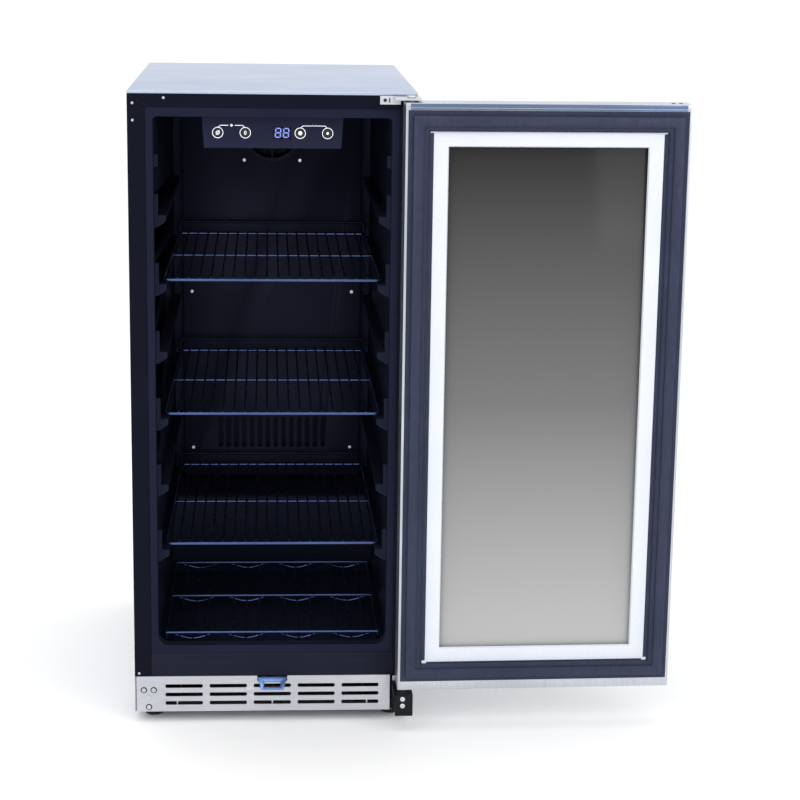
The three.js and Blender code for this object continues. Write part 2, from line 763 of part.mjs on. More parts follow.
function mouthSpace(grow) {
  const shape = roundedRectangle(
    -mouthX - grow,
    mouthX + grow,
    mouthBottomZ - grow,
    mouthTopZ + grow,
    MOUTH_RADIUS_BOTTOM + grow,
    MOUTH_RADIUS_TOP + grow,
  );
  return shape;
}

function railSolids(side) {
  const wall = mouthX + LINER_WALL / 2;
  const parts = [];
  for (let i = 0; i < RAIL_COUNT; i += 1) {
    const z = floorZ + FIRST_RAIL_ABOVE_FLOOR + i * RAIL_PITCH;
    const wedge = outline([
      [side * wall, z],
      [side * wall, z - RAIL_DROP],
      [side * (mouthX - 3), z - RAIL_DROP],
      [side * (mouthX - RAIL_REACH), z - RAIL_DROP / 2],
      [side * (mouthX - RAIL_REACH), z],
    ]);
    parts.push(alongY(wedge, RAIL_START, RAIL_START + RAIL_LENGTH));
    const [t0, t1] = side > 0 ? [mouthX - TAB_REACH, wall] : [-wall, -mouthX + TAB_REACH];
    parts.push(block(t0, t1, RAIL_START, RAIL_START + TAB_LENGTH, z - OVER, z + TAB_HEIGHT));
  }
  const bossZ = floorZ + FIRST_RAIL_ABOVE_FLOOR + (RAIL_COUNT - 1) * RAIL_PITCH + BOSS_ABOVE_LAST_RAIL;
  const [b0, b1] = side > 0 ? [mouthX - TAB_REACH, wall] : [-wall, -mouthX + TAB_REACH];
  parts.push(block(b0, b1, RAIL_START, RAIL_START + TAB_LENGTH, bossZ, bossZ + BOSS_HEIGHT));
  return parts;
}

function addLiner() {
  const outerMouth = alongY(mouthSpace(LINER_WALL), FLANGE_SETBACK, SILL_DEPTH + 2 * OVER, 4);
  const flange = centred(
    flangeX,
    FLANGE_SETBACK,
    FLANGE_SETBACK + FLANGE_SHEET,
    flangeBottomZ,
    flangeTopZ,
  );
  const walls = join(outerMouth, flange, cabinSpace(LINER_WALL));
  const innerMouth = alongY(mouthSpace(0), -OVER, SILL_DEPTH + OVER, 4);
  const rails = join(...railSolids(1), ...railSolids(-1));
  const rooted = rails.intersect(cabinSpace(LINER_WALL / 2));
  const empty = cut(walls, innerMouth, cabinSpace(0));
  add(cabinet, "liner", join(empty, rooted), linerPlastic);
}

function addInsulation() {
  const x = innerX;
  const y0 = FRAME_DEPTH + 2 * GAP;
  const y1 = rearSheetY - PANEL_SHEET - GAP;
  const bottom = bayRoofZ + BAY_SHEET + GAP;
  const whole = centred(x, y0, y1, bottom, frameTopZ - GAP);
  const bay = centred(halfWidth, bayFrontY - GAP, y1 + OVER, 0, FOOT_HEIGHT + BAY_HEIGHT + GAP);
  const clear = LINER_WALL + GAP;
  const mouth = alongY(mouthSpace(clear), -OVER, SILL_DEPTH + OVER, 4);
  add(cabinet, "insulation", cut(whole, bay, mouth, cabinSpace(clear)), foam);
}

// ---------------------------------------------------------------- base and machinery

function addMachineBayRoof() {
  const y0 = FRAME_DEPTH + 2 * GAP;
  const y1 = rearSheetY - PANEL_SHEET - GAP;
  const z0 = bayRoofZ;
  const z1 = FOOT_HEIGHT + BAY_HEIGHT;
  const shape = outline([
    [y0, z0],
    [bayFrontY + BAY_SHEET, z0],
    [bayFrontY + BAY_SHEET, z1 - BAY_SHEET],
    [y1, z1 - BAY_SHEET],
    [y1, z1],
    [bayFrontY, z1],
    [bayFrontY, z0 + BAY_SHEET],
    [y0, z0 + BAY_SHEET],
  ]);
  const x = innerX;
  add(cabinet, "machine_bay_roof", alongX(shape, -x, x), galvanised);
}

const footPlaces = {
  front_left_foot: [-halfWidth + FOOT_SIDE_INSET, FOOT_FRONT_INSET],
  front_right_foot: [halfWidth - FOOT_SIDE_INSET, FOOT_FRONT_INSET],
  rear_left_foot: [-halfWidth + FOOT_SIDE_INSET, CABINET_DEPTH - FOOT_FRONT_INSET],
  rear_right_foot: [halfWidth - FOOT_SIDE_INSET, CABINET_DEPTH - FOOT_FRONT_INSET],
};

function addBasePan() {
  const x = innerX;
  const y0 = KICK_SHEET + 2 * GAP;
  const y1 = rearSheetY - PANEL_SHEET - GAP;
  const rim = FOOT_HEIGHT + PAN_RIM;
  let pan = cut(
    centred(x, y0, y1, FOOT_HEIGHT, rim),
    centred(x - PAN_SHEET, y0 - OVER, y1 - PAN_SHEET, panTopZ, rim + OVER),
  );
  const cornerInner = halfWidth - FRAME_SIDE;
  for (const side of [-1, 1]) {
    const [c0, c1] = side > 0 ? [cornerInner, x] : [-x, -cornerInner];
    pan = join(pan, block(c0, c1, y0, y0 + PAN_SHEET, FOOT_HEIGHT, kickTopZ - 2 * OVER));
  }
  for (const [fx, fy] of Object.values(footPlaces)) {
    pan = cut(pan, post(fx, fy, 0, rim, FOOT_STUD + 2 * GAP));
  }
  add(cabinet, "base_pan", pan, galvanised);
}

function addFeet() {
  const r = FOOT_DIAMETER / 2;
  const top = FOOT_HEIGHT - GAP;
  const stud = FOOT_STUD / 2;
  for (const [name, [x, y]] of Object.entries(footPlaces)) {
    const profile = [
      [0, 0],
      [r * 0.55, 0],
      [r * 0.86, 3.5],
      [r, 8.5],
      [r, top],
      [stud, top],
      [stud, FOOT_HEIGHT + FOOT_STUD_LENGTH],
      [0, FOOT_HEIGHT + FOOT_STUD_LENGTH],
    ];
    add(cabinet, name, turned(profile, x, y, 16), footRubber);
  }
}

function addCompressor() {
  const y = bayFrontY + BAY_DEPTH / 2;
  const r = COMPRESSOR_DIAMETER / 2;
  const base = panTopZ + GAP;
  const top = base + COMPRESSOR_HEIGHT;
  const shell = turned(
    [
      [0, base + COMPRESSOR_FOOT_SHEET - 1],
      [r * 0.88, base + COMPRESSOR_FOOT_SHEET - 1],
      [r, base + COMPRESSOR_BELLY],
      [r, top - COMPRESSOR_SHOULDER],
      [r * 0.85, top - COMPRESSOR_CROWN],
      [r * 0.4, top],
      [0, top],
    ],
    compressorX,
    y,
    20,
  );
  const feet = block(
    compressorX - COMPRESSOR_FOOT_REACH,
    compressorX + COMPRESSOR_FOOT_REACH,
    y - COMPRESSOR_FOOT_DEPTH / 2,
    y + COMPRESSOR_FOOT_DEPTH / 2,
    base,
    base + COMPRESSOR_FOOT_SHEET,
  );
  const terminalBox = block(
    compressorX + r - TERMINAL_BOX_REACH / 3,
    compressorX + r + TERMINAL_BOX_REACH,
    y - TERMINAL_BOX_WIDTH / 2,
    y + TERMINAL_BOX_WIDTH / 2,
    base + TERMINAL_BOX_BOTTOM,
    base + TERMINAL_BOX_TOP,
  );
  add(cabinet, "compressor", join(shell, feet, terminalBox), compressorPaint);
}

function addCondenser() {
  const z = panTopZ + CONDENSER_ABOVE_PAN;
  const place = (x, along) => [x, CONDENSER_START + along, z];
  const half = innerX - CONDENSER_SIDE_MARGIN - (CONDENSER_PITCH + CONDENSER_TUBE) / 2;
  const coil = tube(
    serpentine(CONDENSER_RUNS, CONDENSER_PITCH, 2 * half, place),
    CONDENSER_TUBE,
  );
  const lastY = CONDENSER_START + (CONDENSER_RUNS - 1) * CONDENSER_PITCH;
  const plateStart = CONDENSER_START - CONDENSER_PLATE_OVERHANG;
  const plateEnd = lastY + CONDENSER_PLATE_OVERHANG;
  const plates = [-1, 1].map((side) => {
    const x = side * (half - CONDENSER_PLATE_INSET);
    const thin = CONDENSER_PLATE / 2;
    return block(x - thin, x + thin, plateStart, plateEnd, panTopZ + GAP, z + CONDENSER_PLATE_RISE);
  });
  add(cabinet, "condenser_coil", join(coil, ...plates), copper);
}

// Blades and hub as one moulding, turning about an axis along Y.
function fanRotor(x, y0, y1, z, diameter, hub, blades) {
  let rotor = postAlongY(x, z, y0, y1, hub, 16);
  const middle = (y0 + y1) / 2;
  const reach = (diameter - hub) / 2 + FAN_BLADE_ROOT;
  for (let i = 0; i < blades; i += 1) {
    const geometry = new THREE.BoxGeometry(FAN_BLADE, (y1 - y0) * 0.9, reach);
    geometry.rotateZ(THREE.MathUtils.degToRad(FAN_BLADE_TURN));
    geometry.scale(1.6, 0.8, 1);
    geometry.translate(0, 0, hub / 2 - FAN_BLADE_ROOT + reach / 2);
    geometry.rotateY((2 * Math.PI * i) / blades);
    geometry.translate(x, middle, z);
    rotor = rotor.add(solid(geometry));
  }
  return rotor;
}

function addCondenserFan() {
  const x = condenserFanX;
  const z = panTopZ + CONDENSER_FAN / 2 + CONDENSER_FAN_ABOVE_PAN;
  const y0 = bayFrontY + CONDENSER_FAN_FROM_WALL;
  const y1 = y0 + CONDENSER_FAN_DEPTH;
  const rotor = fanRotor(x, y0, y1, z, CONDENSER_FAN, CONDENSER_FAN_HUB, CONDENSER_FAN_BLADES);
  add(cabinet, "condenser_fan", rotor, fanPlastic);
  const motorY = y1 + 1;
  const motor = postAlongY(x, z, motorY, motorY + CONDENSER_MOTOR_LENGTH, CONDENSER_MOTOR, 16);
  const half = MOTOR_BRACKET_WIDTH / 2;
  const legY = y1 + MOTOR_BRACKET_BEHIND_FAN;
  const sheetTop = panTopZ + MOTOR_BRACKET_SHEET;
  const leg = block(x - half, x + half, legY, legY + MOTOR_BRACKET_SHEET, panTopZ + GAP, z);
  const foot = block(x - half, x + half, legY, legY + MOTOR_BRACKET_FOOT, panTopZ + GAP, sheetTop);
  add(cabinet, "condenser_fan_motor", join(motor, leg, foot), blackCasting);
}

function addDrainTray() {
  const y0 = CONDENSER_START + CONDENSER_RUNS * CONDENSER_PITCH + TRAY_GAP;
  const y1 = y0 + TRAY_DEPTH;
  const z0 = panTopZ + GAP;
  const inside = TRAY_WIDTH / 2 - TRAY_WALL;
  const tray = cut(
    centred(TRAY_WIDTH / 2, y0, y1, z0, z0 + TRAY_HEIGHT),
    centred(inside, y0 + TRAY_WALL, y1 - TRAY_WALL, z0 + TRAY_WALL, z0 + TRAY_HEIGHT + OVER),
  );
  add(cabinet, "drain_tray", tray, trimPlastic);
}

// ---------------------------------------------------------------- evaporator

function addEvaporatorCover() {
  const x = coverX;
  const z0 = humpTopZ + GAP + COVER_END_MARGIN;
  const z1 = mouthTopZ - GAP - COVER_END_MARGIN;
  const back = linerBackY - GAP;
  let cover = cut(
    centred(x, coverY, back, z0, z1),
    centred(x - COVER_SHEET, coverY + COVER_SHEET, back + OVER, z0 - OVER, z1 + OVER),
  );
  const front = coverY - OVER;
  const behind = coverY + COVER_SHEET + OVER;
  cover = cut(cover, postAlongY(0, fanZ, front, behind, FAN_OPENING, 24));
  const ventZ = humpTopZ + VENT_ABOVE_HUMP;
  const firstX = (-(VENT_SLOTS - 1) / 2) * VENT_PITCH;
  for (let i = 0; i < VENT_SLOTS; i += 1) {
    const slotX = firstX + i * VENT_PITCH;
    const half = VENT_SLOT / 2;
    cover = cut(cover, block(slotX - half, slotX + half, front, behind, ventZ, ventZ + VENT_HEIGHT));
  }
  add(cabinet, "evaporator_cover", cover, coverPlastic);
}

function addFanGuard() {
  const y1 = coverY - GAP;
  const y0 = y1 - GUARD_THICKNESS;
  const outer = FAN_OPENING + 2 * GUARD_LAP;
  const rings = [
    [outer, outer - 2 * GUARD_RIM],
    [GUARD_RING, GUARD_RING - 2 * GUARD_WIRE],
    [GUARD_BOSS, 0],
  ].map(([wide, narrow]) => {
    const disc = postAlongY(0, fanZ, y0, y1, wide, 20);
    return narrow ? cut(disc, postAlongY(0, fanZ, y0 - OVER, y1 + OVER, narrow, 20)) : disc;
  });
  const reach = outer / 2 - GUARD_LAP;
  const half = GUARD_SPOKE / 2;
  const spokes = [
    block(-reach, reach, y0, y1, fanZ - half, fanZ + half),
    block(-half, half, y0, y1, fanZ - reach, fanZ + reach),
  ];
  add(cabinet, "fan_guard", join(...rings, ...spokes), coverPlastic);
}

function addEvaporator() {
  const y = coverY + COVER_SPACE / 2 + 1;
  const firstZ = humpTopZ + EVAPORATOR_ABOVE_HUMP;
  const place = (x, along) => [x, y, firstZ + along];
  const bend = (EVAPORATOR_PITCH + EVAPORATOR_TUBE) / 2;
  const half = coverX - COVER_SHEET - EVAPORATOR_SIDE_MARGIN - bend;
  const coil = tube(
    serpentine(EVAPORATOR_RUNS, EVAPORATOR_PITCH, 2 * half, place),
    EVAPORATOR_TUBE,
  );
  const lastZ = firstZ + (EVAPORATOR_RUNS - 1) * EVAPORATOR_PITCH;
  const fins = [-1, 0, 1].map((side) => {
    const x = side * (half - EVAPORATOR_FIN_INSET);
    const z0 = firstZ - EVAPORATOR_FIN_OVERHANG;
    const z1 = lastZ + EVAPORATOR_FIN_OVERHANG;
    const thin = EVAPORATOR_FIN / 2;
    const deep = EVAPORATOR_FIN_DEPTH / 2;
    return block(x - thin, x + thin, y - deep, y + deep, z0, z1);
  });
  add(cabinet, "evaporator_coil", join(coil, ...fins), galvanised);
}

function addEvaporatorFan() {
  const y0 = coverY + COVER_SHEET + 1;
  const y1 = y0 + EVAPORATOR_FAN_DEPTH;
  const hub = EVAPORATOR_FAN_HUB;
  const rotor = fanRotor(0, y0, y1, fanZ, EVAPORATOR_FAN, hub, EVAPORATOR_FAN_BLADES);
  add(cabinet, "evaporator_fan", rotor, fanPlastic);
  const back = linerBackY - GAP;
  const motor = postAlongY(0, fanZ, y1 + 0.8, back, EVAPORATOR_MOTOR, 16);
  const half = MOTOR_STRAP_WIDTH / 2;
  const strap = centred(
    MOTOR_STRAP_LENGTH / 2,
    back - MOTOR_STRAP_SHEET,
    back,
    fanZ - half,
    fanZ + half,
  );
  add(cabinet, "evaporator_fan_motor", join(motor, strap), blackCasting);
}

// ---------------------------------------------------------------- controls

// The housing's outline in X and Z, taken in by inset all round.
function controlOutline(inset) {
  const top = CONTROL_TOP / 2 - inset;
  const bottom = CONTROL_BOTTOM / 2 - inset;
  return outline([
    [-bottom, controlBottomZ + inset],
    [bottom, controlBottomZ + inset],
    [top, controlTopZ - inset],
    [-top, controlTopZ - inset],
  ]);
}

function addControls() {
  const faceY = CONTROL_SETBACK;
  const rearOfFascia = faceY + FASCIA_THICKNESS;
  const housingY = rearOfFascia + GAP;
  const backY = faceY + CONTROL_DEPTH;

  let fascia = alongY(controlOutline(0), faceY, rearOfFascia);
  const hole = BUTTON_DIAMETER + 2 * BUTTON_PLAY;
  for (const x of Object.values(BUTTON_PLACES)) {
    fascia = cut(fascia, postAlongY(x, buttonZ, faceY - OVER, rearOfFascia + OVER, hole));
  }
  const dx = DISPLAY_WIDTH / 2;
  const dz = DISPLAY_HEIGHT / 2;
  const windowHole = (clear) => [
    DISPLAY_CENTRE - dx - clear,
    DISPLAY_CENTRE + dx + clear,
    faceY - (clear ? OVER : -GAP),
    rearOfFascia + (clear ? OVER : -GAP),
    buttonZ - dz - clear,
    buttonZ + dz + clear,
  ];
  fascia = cut(fascia, block(...windowHole(GAP)));
  add(cabinet, "control_fascia", fascia, controlPlastic);
  add(cabinet, "display_window", block(...windowHole(0)), displaySmoke);

  let housing = cut(
    alongY(controlOutline(0), housingY, backY),
    alongY(controlOutline(CONTROL_WALL), housingY - OVER, backY - CONTROL_WALL),
  );
  const lensY = faceY + LENS_SETBACK;
  const lens = (clear, z0, z1) =>
    centred(LENS_WIDTH / 2 + clear, lensY - clear, lensY + LENS_DEPTH + clear, z0, z1);
  housing = cut(housing, lens(GAP, controlBottomZ - OVER, controlBottomZ + CONTROL_WALL + OVER));
  add(cabinet, "control_housing", housing, controlPlastic);
  add(cabinet, "light_lens", lens(0, controlBottomZ, controlBottomZ + CONTROL_WALL), lensWhite);

  const capR = BUTTON_DIAMETER / 2;
  const stemEnd = rearOfFascia + STEM_LENGTH;
  for (const [name, x] of Object.entries(BUTTON_PLACES)) {
    const profile = [
      [0, faceY - BUTTON_PROUD],
      [capR - CAP_CHAMFER, faceY - BUTTON_PROUD],
      [capR, faceY - BUTTON_PROUD + CAP_CHAMFER],
      [capR, rearOfFascia + 0.5],
      [capR + CAP_FLANGE, rearOfFascia + 0.5],
      [capR + CAP_FLANGE, rearOfFascia + 2],
      [STEM_DIAMETER / 2, rearOfFascia + 2],
      [STEM_DIAMETER / 2, stemEnd],
      [0, stemEnd],
    ];
    add(cabinet, name + "_button", turnedAlongY(profile, x, buttonZ, 12), buttonPlastic);
  }
  const boardY = stemEnd + BUTTON_TRAVEL + GAP;
  const board = centred(
    CONTROL_BOTTOM / 2 - BOARD_MARGIN,
    boardY,
    boardY + BOARD_THICKNESS,
    controlBottomZ + BOARD_MARGIN,
    controlTopZ - BOARD_MARGIN,
  );
  const digits = block(
    DISPLAY_CENTRE - dx + 1,
    DISPLAY_CENTRE + dx - 1,
    rearOfFascia + 1,
    boardY + OVER,
    buttonZ - dz + 1,
    buttonZ + dz - 1,
  );
  add(cabinet, "control_board", join(board, digits), boardGreen);
}

// ---------------------------------------------------------------- shelves

function railZ(index) {
  return floorZ + FIRST_RAIL_ABOVE_FLOOR + index * RAIL_PITCH;
}

const shelfHalf = mouthX - TAB_REACH - SHELF_SIDE_PLAY;

// Side and cross bars with thin wires laid over them, and a raised rail at the back.
function wireShelf(z) {
  const barZ = z + GAP + SHELF_BAR / 2;
  const x = shelfHalf - SHELF_BAR / 2;
  const y0 = SHELF_FRONT;
  const y1 = SHELF_FRONT + SHELF_DEPTH;
  const middle = (y0 + y1) / 2;
  const backX = x - LINER_DRAFT;
  const parts = [
    bar([-x, y0, barZ], [x, y0, barZ], SHELF_BAR),
    bar([-backX, y1, barZ], [backX, y1, barZ], SHELF_BAR),
    bar([-x + 1, middle, barZ], [x - 1, middle, barZ], SHELF_MIDDLE_BAR),
  ];
  const rise = barZ + SHELF_BACK_RISE;
  parts.push(bar([-backX, y1, rise], [backX, y1, rise], SHELF_BAR));
  for (const side of [-1, 1]) {
    parts.push(bar([side * x, y0, barZ], [side * backX, y1, barZ], SHELF_BAR));
    parts.push(bar([side * backX, y1, barZ], [side * backX, y1, rise], SHELF_BAR));
  }
  const pitch = (2 * backX) / (SHELF_WIRES + 1);
  const wireZ = barZ + SHELF_BAR / 2 + SHELF_WIRE / 2 - 0.8;
  for (let i = 1; i <= SHELF_WIRES; i += 1) {
    const wireX = -backX + i * pitch;
    parts.push(bar([wireX, y0 - 1, wireZ], [wireX, y1 + 1, wireZ], SHELF_WIRE, WIRE_SIDES));
  }
  return join(...parts);
}

// Straight and waved bars in pairs; the waves cradle bottles lying front to back.
function bottleRack() {
  const rackHalf = mouthX - LINER_DRAFT - RACK_SIDE_PLAY;
  const barZ = mouthBottomZ + 3;
  const x = rackHalf - SHELF_BAR / 2;
  const rows = [SHELF_FRONT, SHELF_FRONT + RACK_DEPTH / 2, SHELF_FRONT + RACK_DEPTH];
  const waveTop = barZ - 1;
  const pitch = (2 * x) / RACK_CRADLES;
  const stepsPerCradle = 6;
  const parts = [];
  for (const y of rows) {
    parts.push(bar([-x, y, barZ], [x, y, barZ], SHELF_BAR));
    const points = [];
    const steps = RACK_CRADLES * stepsPerCradle;
    for (let i = 0; i <= steps; i += 1) {
      const phase = (2 * Math.PI * i) / stepsPerCradle;
      const fall = ((1 - Math.cos(phase)) * CRADLE_DEPTH) / 2;
      points.push([-x + (2 * x * i) / steps, y + 2.2, waveTop - fall]);
    }
    parts.push(tube(points, SHELF_WIRE + 0.6, WIRE_SIDES));
  }
  const y0 = rows[0];
  const y1 = rows[2];
  for (const side of [-1, 1]) {
    parts.push(bar([side * x, y0, barZ], [side * x, y1, barZ], SHELF_BAR));
    for (const rowY of [y0, y1]) {
      parts.push(bar([side * x, rowY, barZ], [side * x, rowY, floorZ + GAP], SHELF_BAR));
    }
  }
  for (let cradle = 0; cradle < RACK_CRADLES; cradle += 1) {
    const centre = -x + (cradle + 0.5) * pitch;
    for (const off of [-0.25, 0, 0.25]) {
      const fall = ((1 + Math.cos(2 * Math.PI * off)) * CRADLE_DEPTH) / 2;
      const wireZ = waveTop - fall + 1.4;
      const wireX = centre + off * pitch;
      parts.push(bar([wireX, y0 - 1, wireZ], [wireX, y1 + 4, wireZ], SHELF_WIRE, WIRE_SIDES));
    }
  }
  return join(...parts);
}

function addShelves() {
  const names = ["lower_shelf", "middle_shelf", "upper_shelf"];
  SHELF_TRAVEL_RAILS.forEach((rail, i) => {
    add(cabinet, names[i], wireShelf(railZ(rail)), wireCoat);
  });
  add(cabinet, "bottle_rack", bottleRack(), wireCoat);
}

// ---------------------------------------------------------------- kick plate, strike, hinges

function addKickPlate() {
  const x0 = -halfWidth + KICK_LEFT_INSET;
  const x1 = halfWidth - KICK_RIGHT_INSET;
  const z0 = FOOT_HEIGHT;
  const z1 = kickTopZ;
  const shape = roundedRectangle(x0, x1, z0, z1, 1, KICK_CORNER);
  let plate = alongY(shape, 0, KICK_SHEET, 4);
  const fold = block(x0 + KICK_CORNER, x1 - KICK_CORNER, 0, FRAME_DEPTH - 2, z1 - KICK_SHEET, z1);
  plate = join(plate, fold);
  const room = Math.min(-x0, x1) - KICK_END_MARGIN - KICK_SLOT_WIDTH / 2;
  const columns = Math.floor(room / KICK_SLOT_PITCH);
  for (let column = -columns; column <= columns; column += 1) {
    for (let row = 0; row < 3; row += 1) {
      const cx = column * KICK_SLOT_PITCH;
      const cz = z0 + KICK_FIRST_ROW + row * KICK_ROW_PITCH;
      const halfSlot = KICK_SLOT_WIDTH / 2;
      const halfHigh = KICK_SLOT_HEIGHT / 2;
      plate = cut(
        plate,
        block(cx - halfSlot, cx + halfSlot, -OVER, KICK_SHEET + OVER, cz - halfHigh, cz + halfHigh),
      );
    }
  }
  plate = cut(plate, centred(NOTCH_WIDTH / 2, -OVER, FRAME_DEPTH, z1 - NOTCH_DEPTH, z1 + OVER));
  add(cabinet, "kick_plate", plate, brushed);
}

// A tongue bent down and forward through the notch, with a slot that takes the lock's cam.
function addLockStrike() {
  const z = kickTopZ - 2;
  const shape = outline([
    [FRAME_DEPTH + 2, z],
    [0, z],
    [-STRIKE_FORWARD, z - STRIKE_FALL],
    [-STRIKE_FORWARD, z - STRIKE_FALL - STRIKE_SHEET],
    [0, z - STRIKE_SHEET],
    [FRAME_DEPTH + 2, z - STRIKE_SHEET],
  ]);
  const wide = NOTCH_WIDTH / 2 - 2 * GAP;
  const narrow = wide - STRIKE_TAPER;
  const plan = outline([
    [-wide, FRAME_DEPTH + 2],
    [-wide, -1],
    [-narrow, -STRIKE_FORWARD - 1],
    [narrow, -STRIKE_FORWARD - 1],
    [wide, -1],
    [wide, FRAME_DEPTH + 2],
  ]);
  const tongue = alongX(shape, -wide, wide).intersect(alongZ(plan, 0, kickTopZ));
  const slotY = -STRIKE_FORWARD + STRIKE_SLOT_EDGE;
  const slot = centred(narrow - STRIKE_SLOT_SIDE, slotY, -STRIKE_SLOT_BACK, 0, kickTopZ);
  add(cabinet, "lock_strike", cut(tongue, slot), strikeMetal);
}

function addUpperHinge() {
  const plateTop = CABINET_HEIGHT - TOP_LIP - GAP;
  const plateBottom = plateTop - HINGE_PLATE;
  const right = hingeX + ARM_WIDTH / 2;
  const legBottom = plateTop - UPPER_LEG_HEIGHT;
  const legRight = hingeX - UPPER_PLATE_NOSE;
  const leg = block(hingeX - UPPER_LEG_REACH, legRight, -UPPER_LEG_FRONT, -GAP, legBottom, plateTop);
  const plateFront = hingeY - UPPER_PLATE_NOSE;
  const plate = block(hingeX - UPPER_PLATE_REACH, right, plateFront, -GAP, plateBottom, plateTop);
  const hole = post(hingeX, hingeY, plateBottom - OVER, plateTop + OVER, PIN_DIAMETER + 2 * PIN_PLAY);
  add(cabinet, "upper_hinge", cut(join(leg, plate), hole), brushed);
  const r = PIN_DIAMETER / 2;
  const foot = doorTopZ - BUSH_LENGTH + 1;
  const pin = turned(
    [
      [0, foot],
      [r, foot],
      [r, plateTop + GAP],
      [r + UPPER_PIN_HEAD, plateTop + GAP],
      [r + UPPER_PIN_HEAD, plateTop + UPPER_PIN_RISE],
      [0, plateTop + UPPER_PIN_RISE],
    ],
    hingeX,
    hingeY,
    16,
  );
  add(cabinet, "upper_hinge_pin", pin, pinSteel);
}

function addLowerHinge() {
  const armTop = DOOR_BOTTOM - ARM_BELOW_DOOR;
  const armBottom = armTop - ARM_SHEET;
  const left = hingeX - ARM_WIDTH / 2;
  const right = hingeX + ARM_WIDTH / 2;
  const front = hingeY - ARM_FORWARD;
  const arm = block(left, right, front, -GAP, armBottom, armTop);
  const apronZ = armTop - APRON_HEIGHT;
  const apron = block(left + 2, right, front - APRON_SHEET, front + OVER, apronZ, armTop);
  const footY = -GAP - APRON_SHEET;
  const foot = block(left, hingeX + LOWER_FOOT_REACH, footY, -GAP, FOOT_HEIGHT, armTop + 4);
  const hole = post(hingeX, hingeY, armBottom - OVER, armTop + OVER, PIN_DIAMETER + 2 * PIN_PLAY);
  add(cabinet, "lower_hinge", cut(join(arm, apron, foot), hole), blackCasting);
  const r = PIN_DIAMETER / 2;
  const tip = DOOR_BOTTOM + BUSH_LENGTH - 1;
  const pin = turned(
    [
      [0, armBottom - LOWER_PIN_NUT],
      [r + LOWER_PIN_RIM, armBottom - LOWER_PIN_NUT],
      [r + LOWER_PIN_RIM, armBottom - GAP],
      [r, armBottom - GAP],
      [r, armTop + GAP],
      [r + LOWER_PIN_COLLAR, armTop + GAP],
      [r + LOWER_PIN_COLLAR, DOOR_BOTTOM - GAP],
      [r, DOOR_BOTTOM - GAP],
      [r, tip],
      [0, tip],
    ],
    hingeX,
    hingeY,
    16,
  );
  add(cabinet, "lower_hinge_pin", pin, pinSteel);
}

// ---------------------------------------------------------------- door

const doorEdge = { x: doorX, z0: DOOR_BOTTOM, z1: doorTopZ };
const windowEdge = { x: windowX, z0: windowBottomZ, z1: windowTopZ };

function inset(edge, side, end = side) {
  return { x: edge.x - side, z0: edge.z0 + end, z1: edge.z1 - end };
}

const bushHole = BUSH_DIAMETER + 2 * GAP;

function bushHoles() {
  return [
    post(hingeX, hingeY, DOOR_BOTTOM - OVER, DOOR_BOTTOM + BUSH_LENGTH + GAP, bushHole, 16),
    post(hingeX, hingeY, doorTopZ - BUSH_LENGTH - GAP, doorTopZ + OVER, bushHole, 16),
  ];
}

// The space that the cam swings in, open at the door's bottom edge.
function camPocket() {
  const y1 = doorInnerY - DOOR_SHEET - CAM_RECESS;
  const reach = CAM_LENGTH + CAM_WIDTH / 2 + 2;
  const side = CAM_WIDTH / 2 + CAM_SWEEP_PLAY;
  const y0 = y1 - CAM_THICKNESS - CAM_SWEEP_PLAY;
  return block(-side, reach, y0, y1, DOOR_BOTTOM - OVER, lockZ + side);
}

function addDoorSkin() {
  const y0 = doorOuterY;
  const y1 = doorInnerY;
  const whole = ring(doorEdge, windowEdge, y0, y1);
  const hollow = centred(
    doorX - DOOR_SHEET,
    y0 + DOOR_SHEET,
    y1 - DOOR_SHEET,
    DOOR_BOTTOM + DOOR_SHEET,
    doorTopZ - DOOR_SHEET,
  );
  const rim = inset(doorEdge, RIM_SIDE, RIM_END);
  const mouth = centred(rim.x, y1 - 2 * DOOR_SHEET, y1 + OVER, rim.z0, rim.z1);
  const barrelHole = postAlongY(0, lockZ, y0 - OVER, y0 + 4, BARREL_DIAMETER + 2 * GAP);
  const skin = cut(whole, hollow, mouth, barrelHole, camPocket(), ...bushHoles());
  add(door, "door_skin", skin, brushed);
}

const paneEdge = inset(windowEdge, -PANE_BEHIND_EDGE);
const outerPaneY = doorOuterY + DOOR_SHEET + GAP;
const linerPlateY = doorInnerY - DOOR_SHEET - GAP - LINER_PLATE;
const innerPaneY = linerPlateY - GAP - PANE;

function addDoorCore() {
  const edge = inset(doorEdge, DOOR_SHEET + GAP);
  const y0 = outerPaneY;
  const y1 = linerPlateY - GAP;
  const core = ring(edge, inset(paneEdge, -GAP), y0, y1);
  const barrelHole = postAlongY(0, lockZ, y0 - OVER, y1 + OVER, BARREL_DIAMETER + 2 * GAP);
  add(door, "door_core", cut(core, barrelHole, camPocket(), ...bushHoles()), foam);
}

function addDoorLiner() {
  const edge = inset(doorEdge, DOOR_SHEET + GAP);
  const opening = inset(windowEdge, -2.5);
  const plate = ring(edge, opening, linerPlateY, linerPlateY + LINER_PLATE);
  add(door, "door_liner", cut(plate, ...bushHoles()), trimPlastic);
}

// The magnetic gasket: a flat foot, a raised cushion and a groove between its two beads.
function addGasket() {
  const outer = inset(doorEdge, RIM_SIDE + GAP, RIM_END + GAP);
  const y0 = linerPlateY + LINER_PLATE + GAP;
  const y1 = doorInnerY + GASKET_PROUD;
  const middleY = y0 + GASKET_FOOT;
  const foot = ring(outer, inset(outer, GASKET_WIDTH), y0, middleY);
  const cushion = ring(inset(outer, CUSHION_START), inset(outer, CUSHION_END), y0, y1);
  const grooveY = y1 - GROOVE_DEPTH;
  const groove = ring(inset(outer, GROOVE_START), inset(outer, GROOVE_END), grooveY, y1 + OVER);
  add(door, "door_gasket", cut(join(foot, cushion), groove), gasketRubber);
}

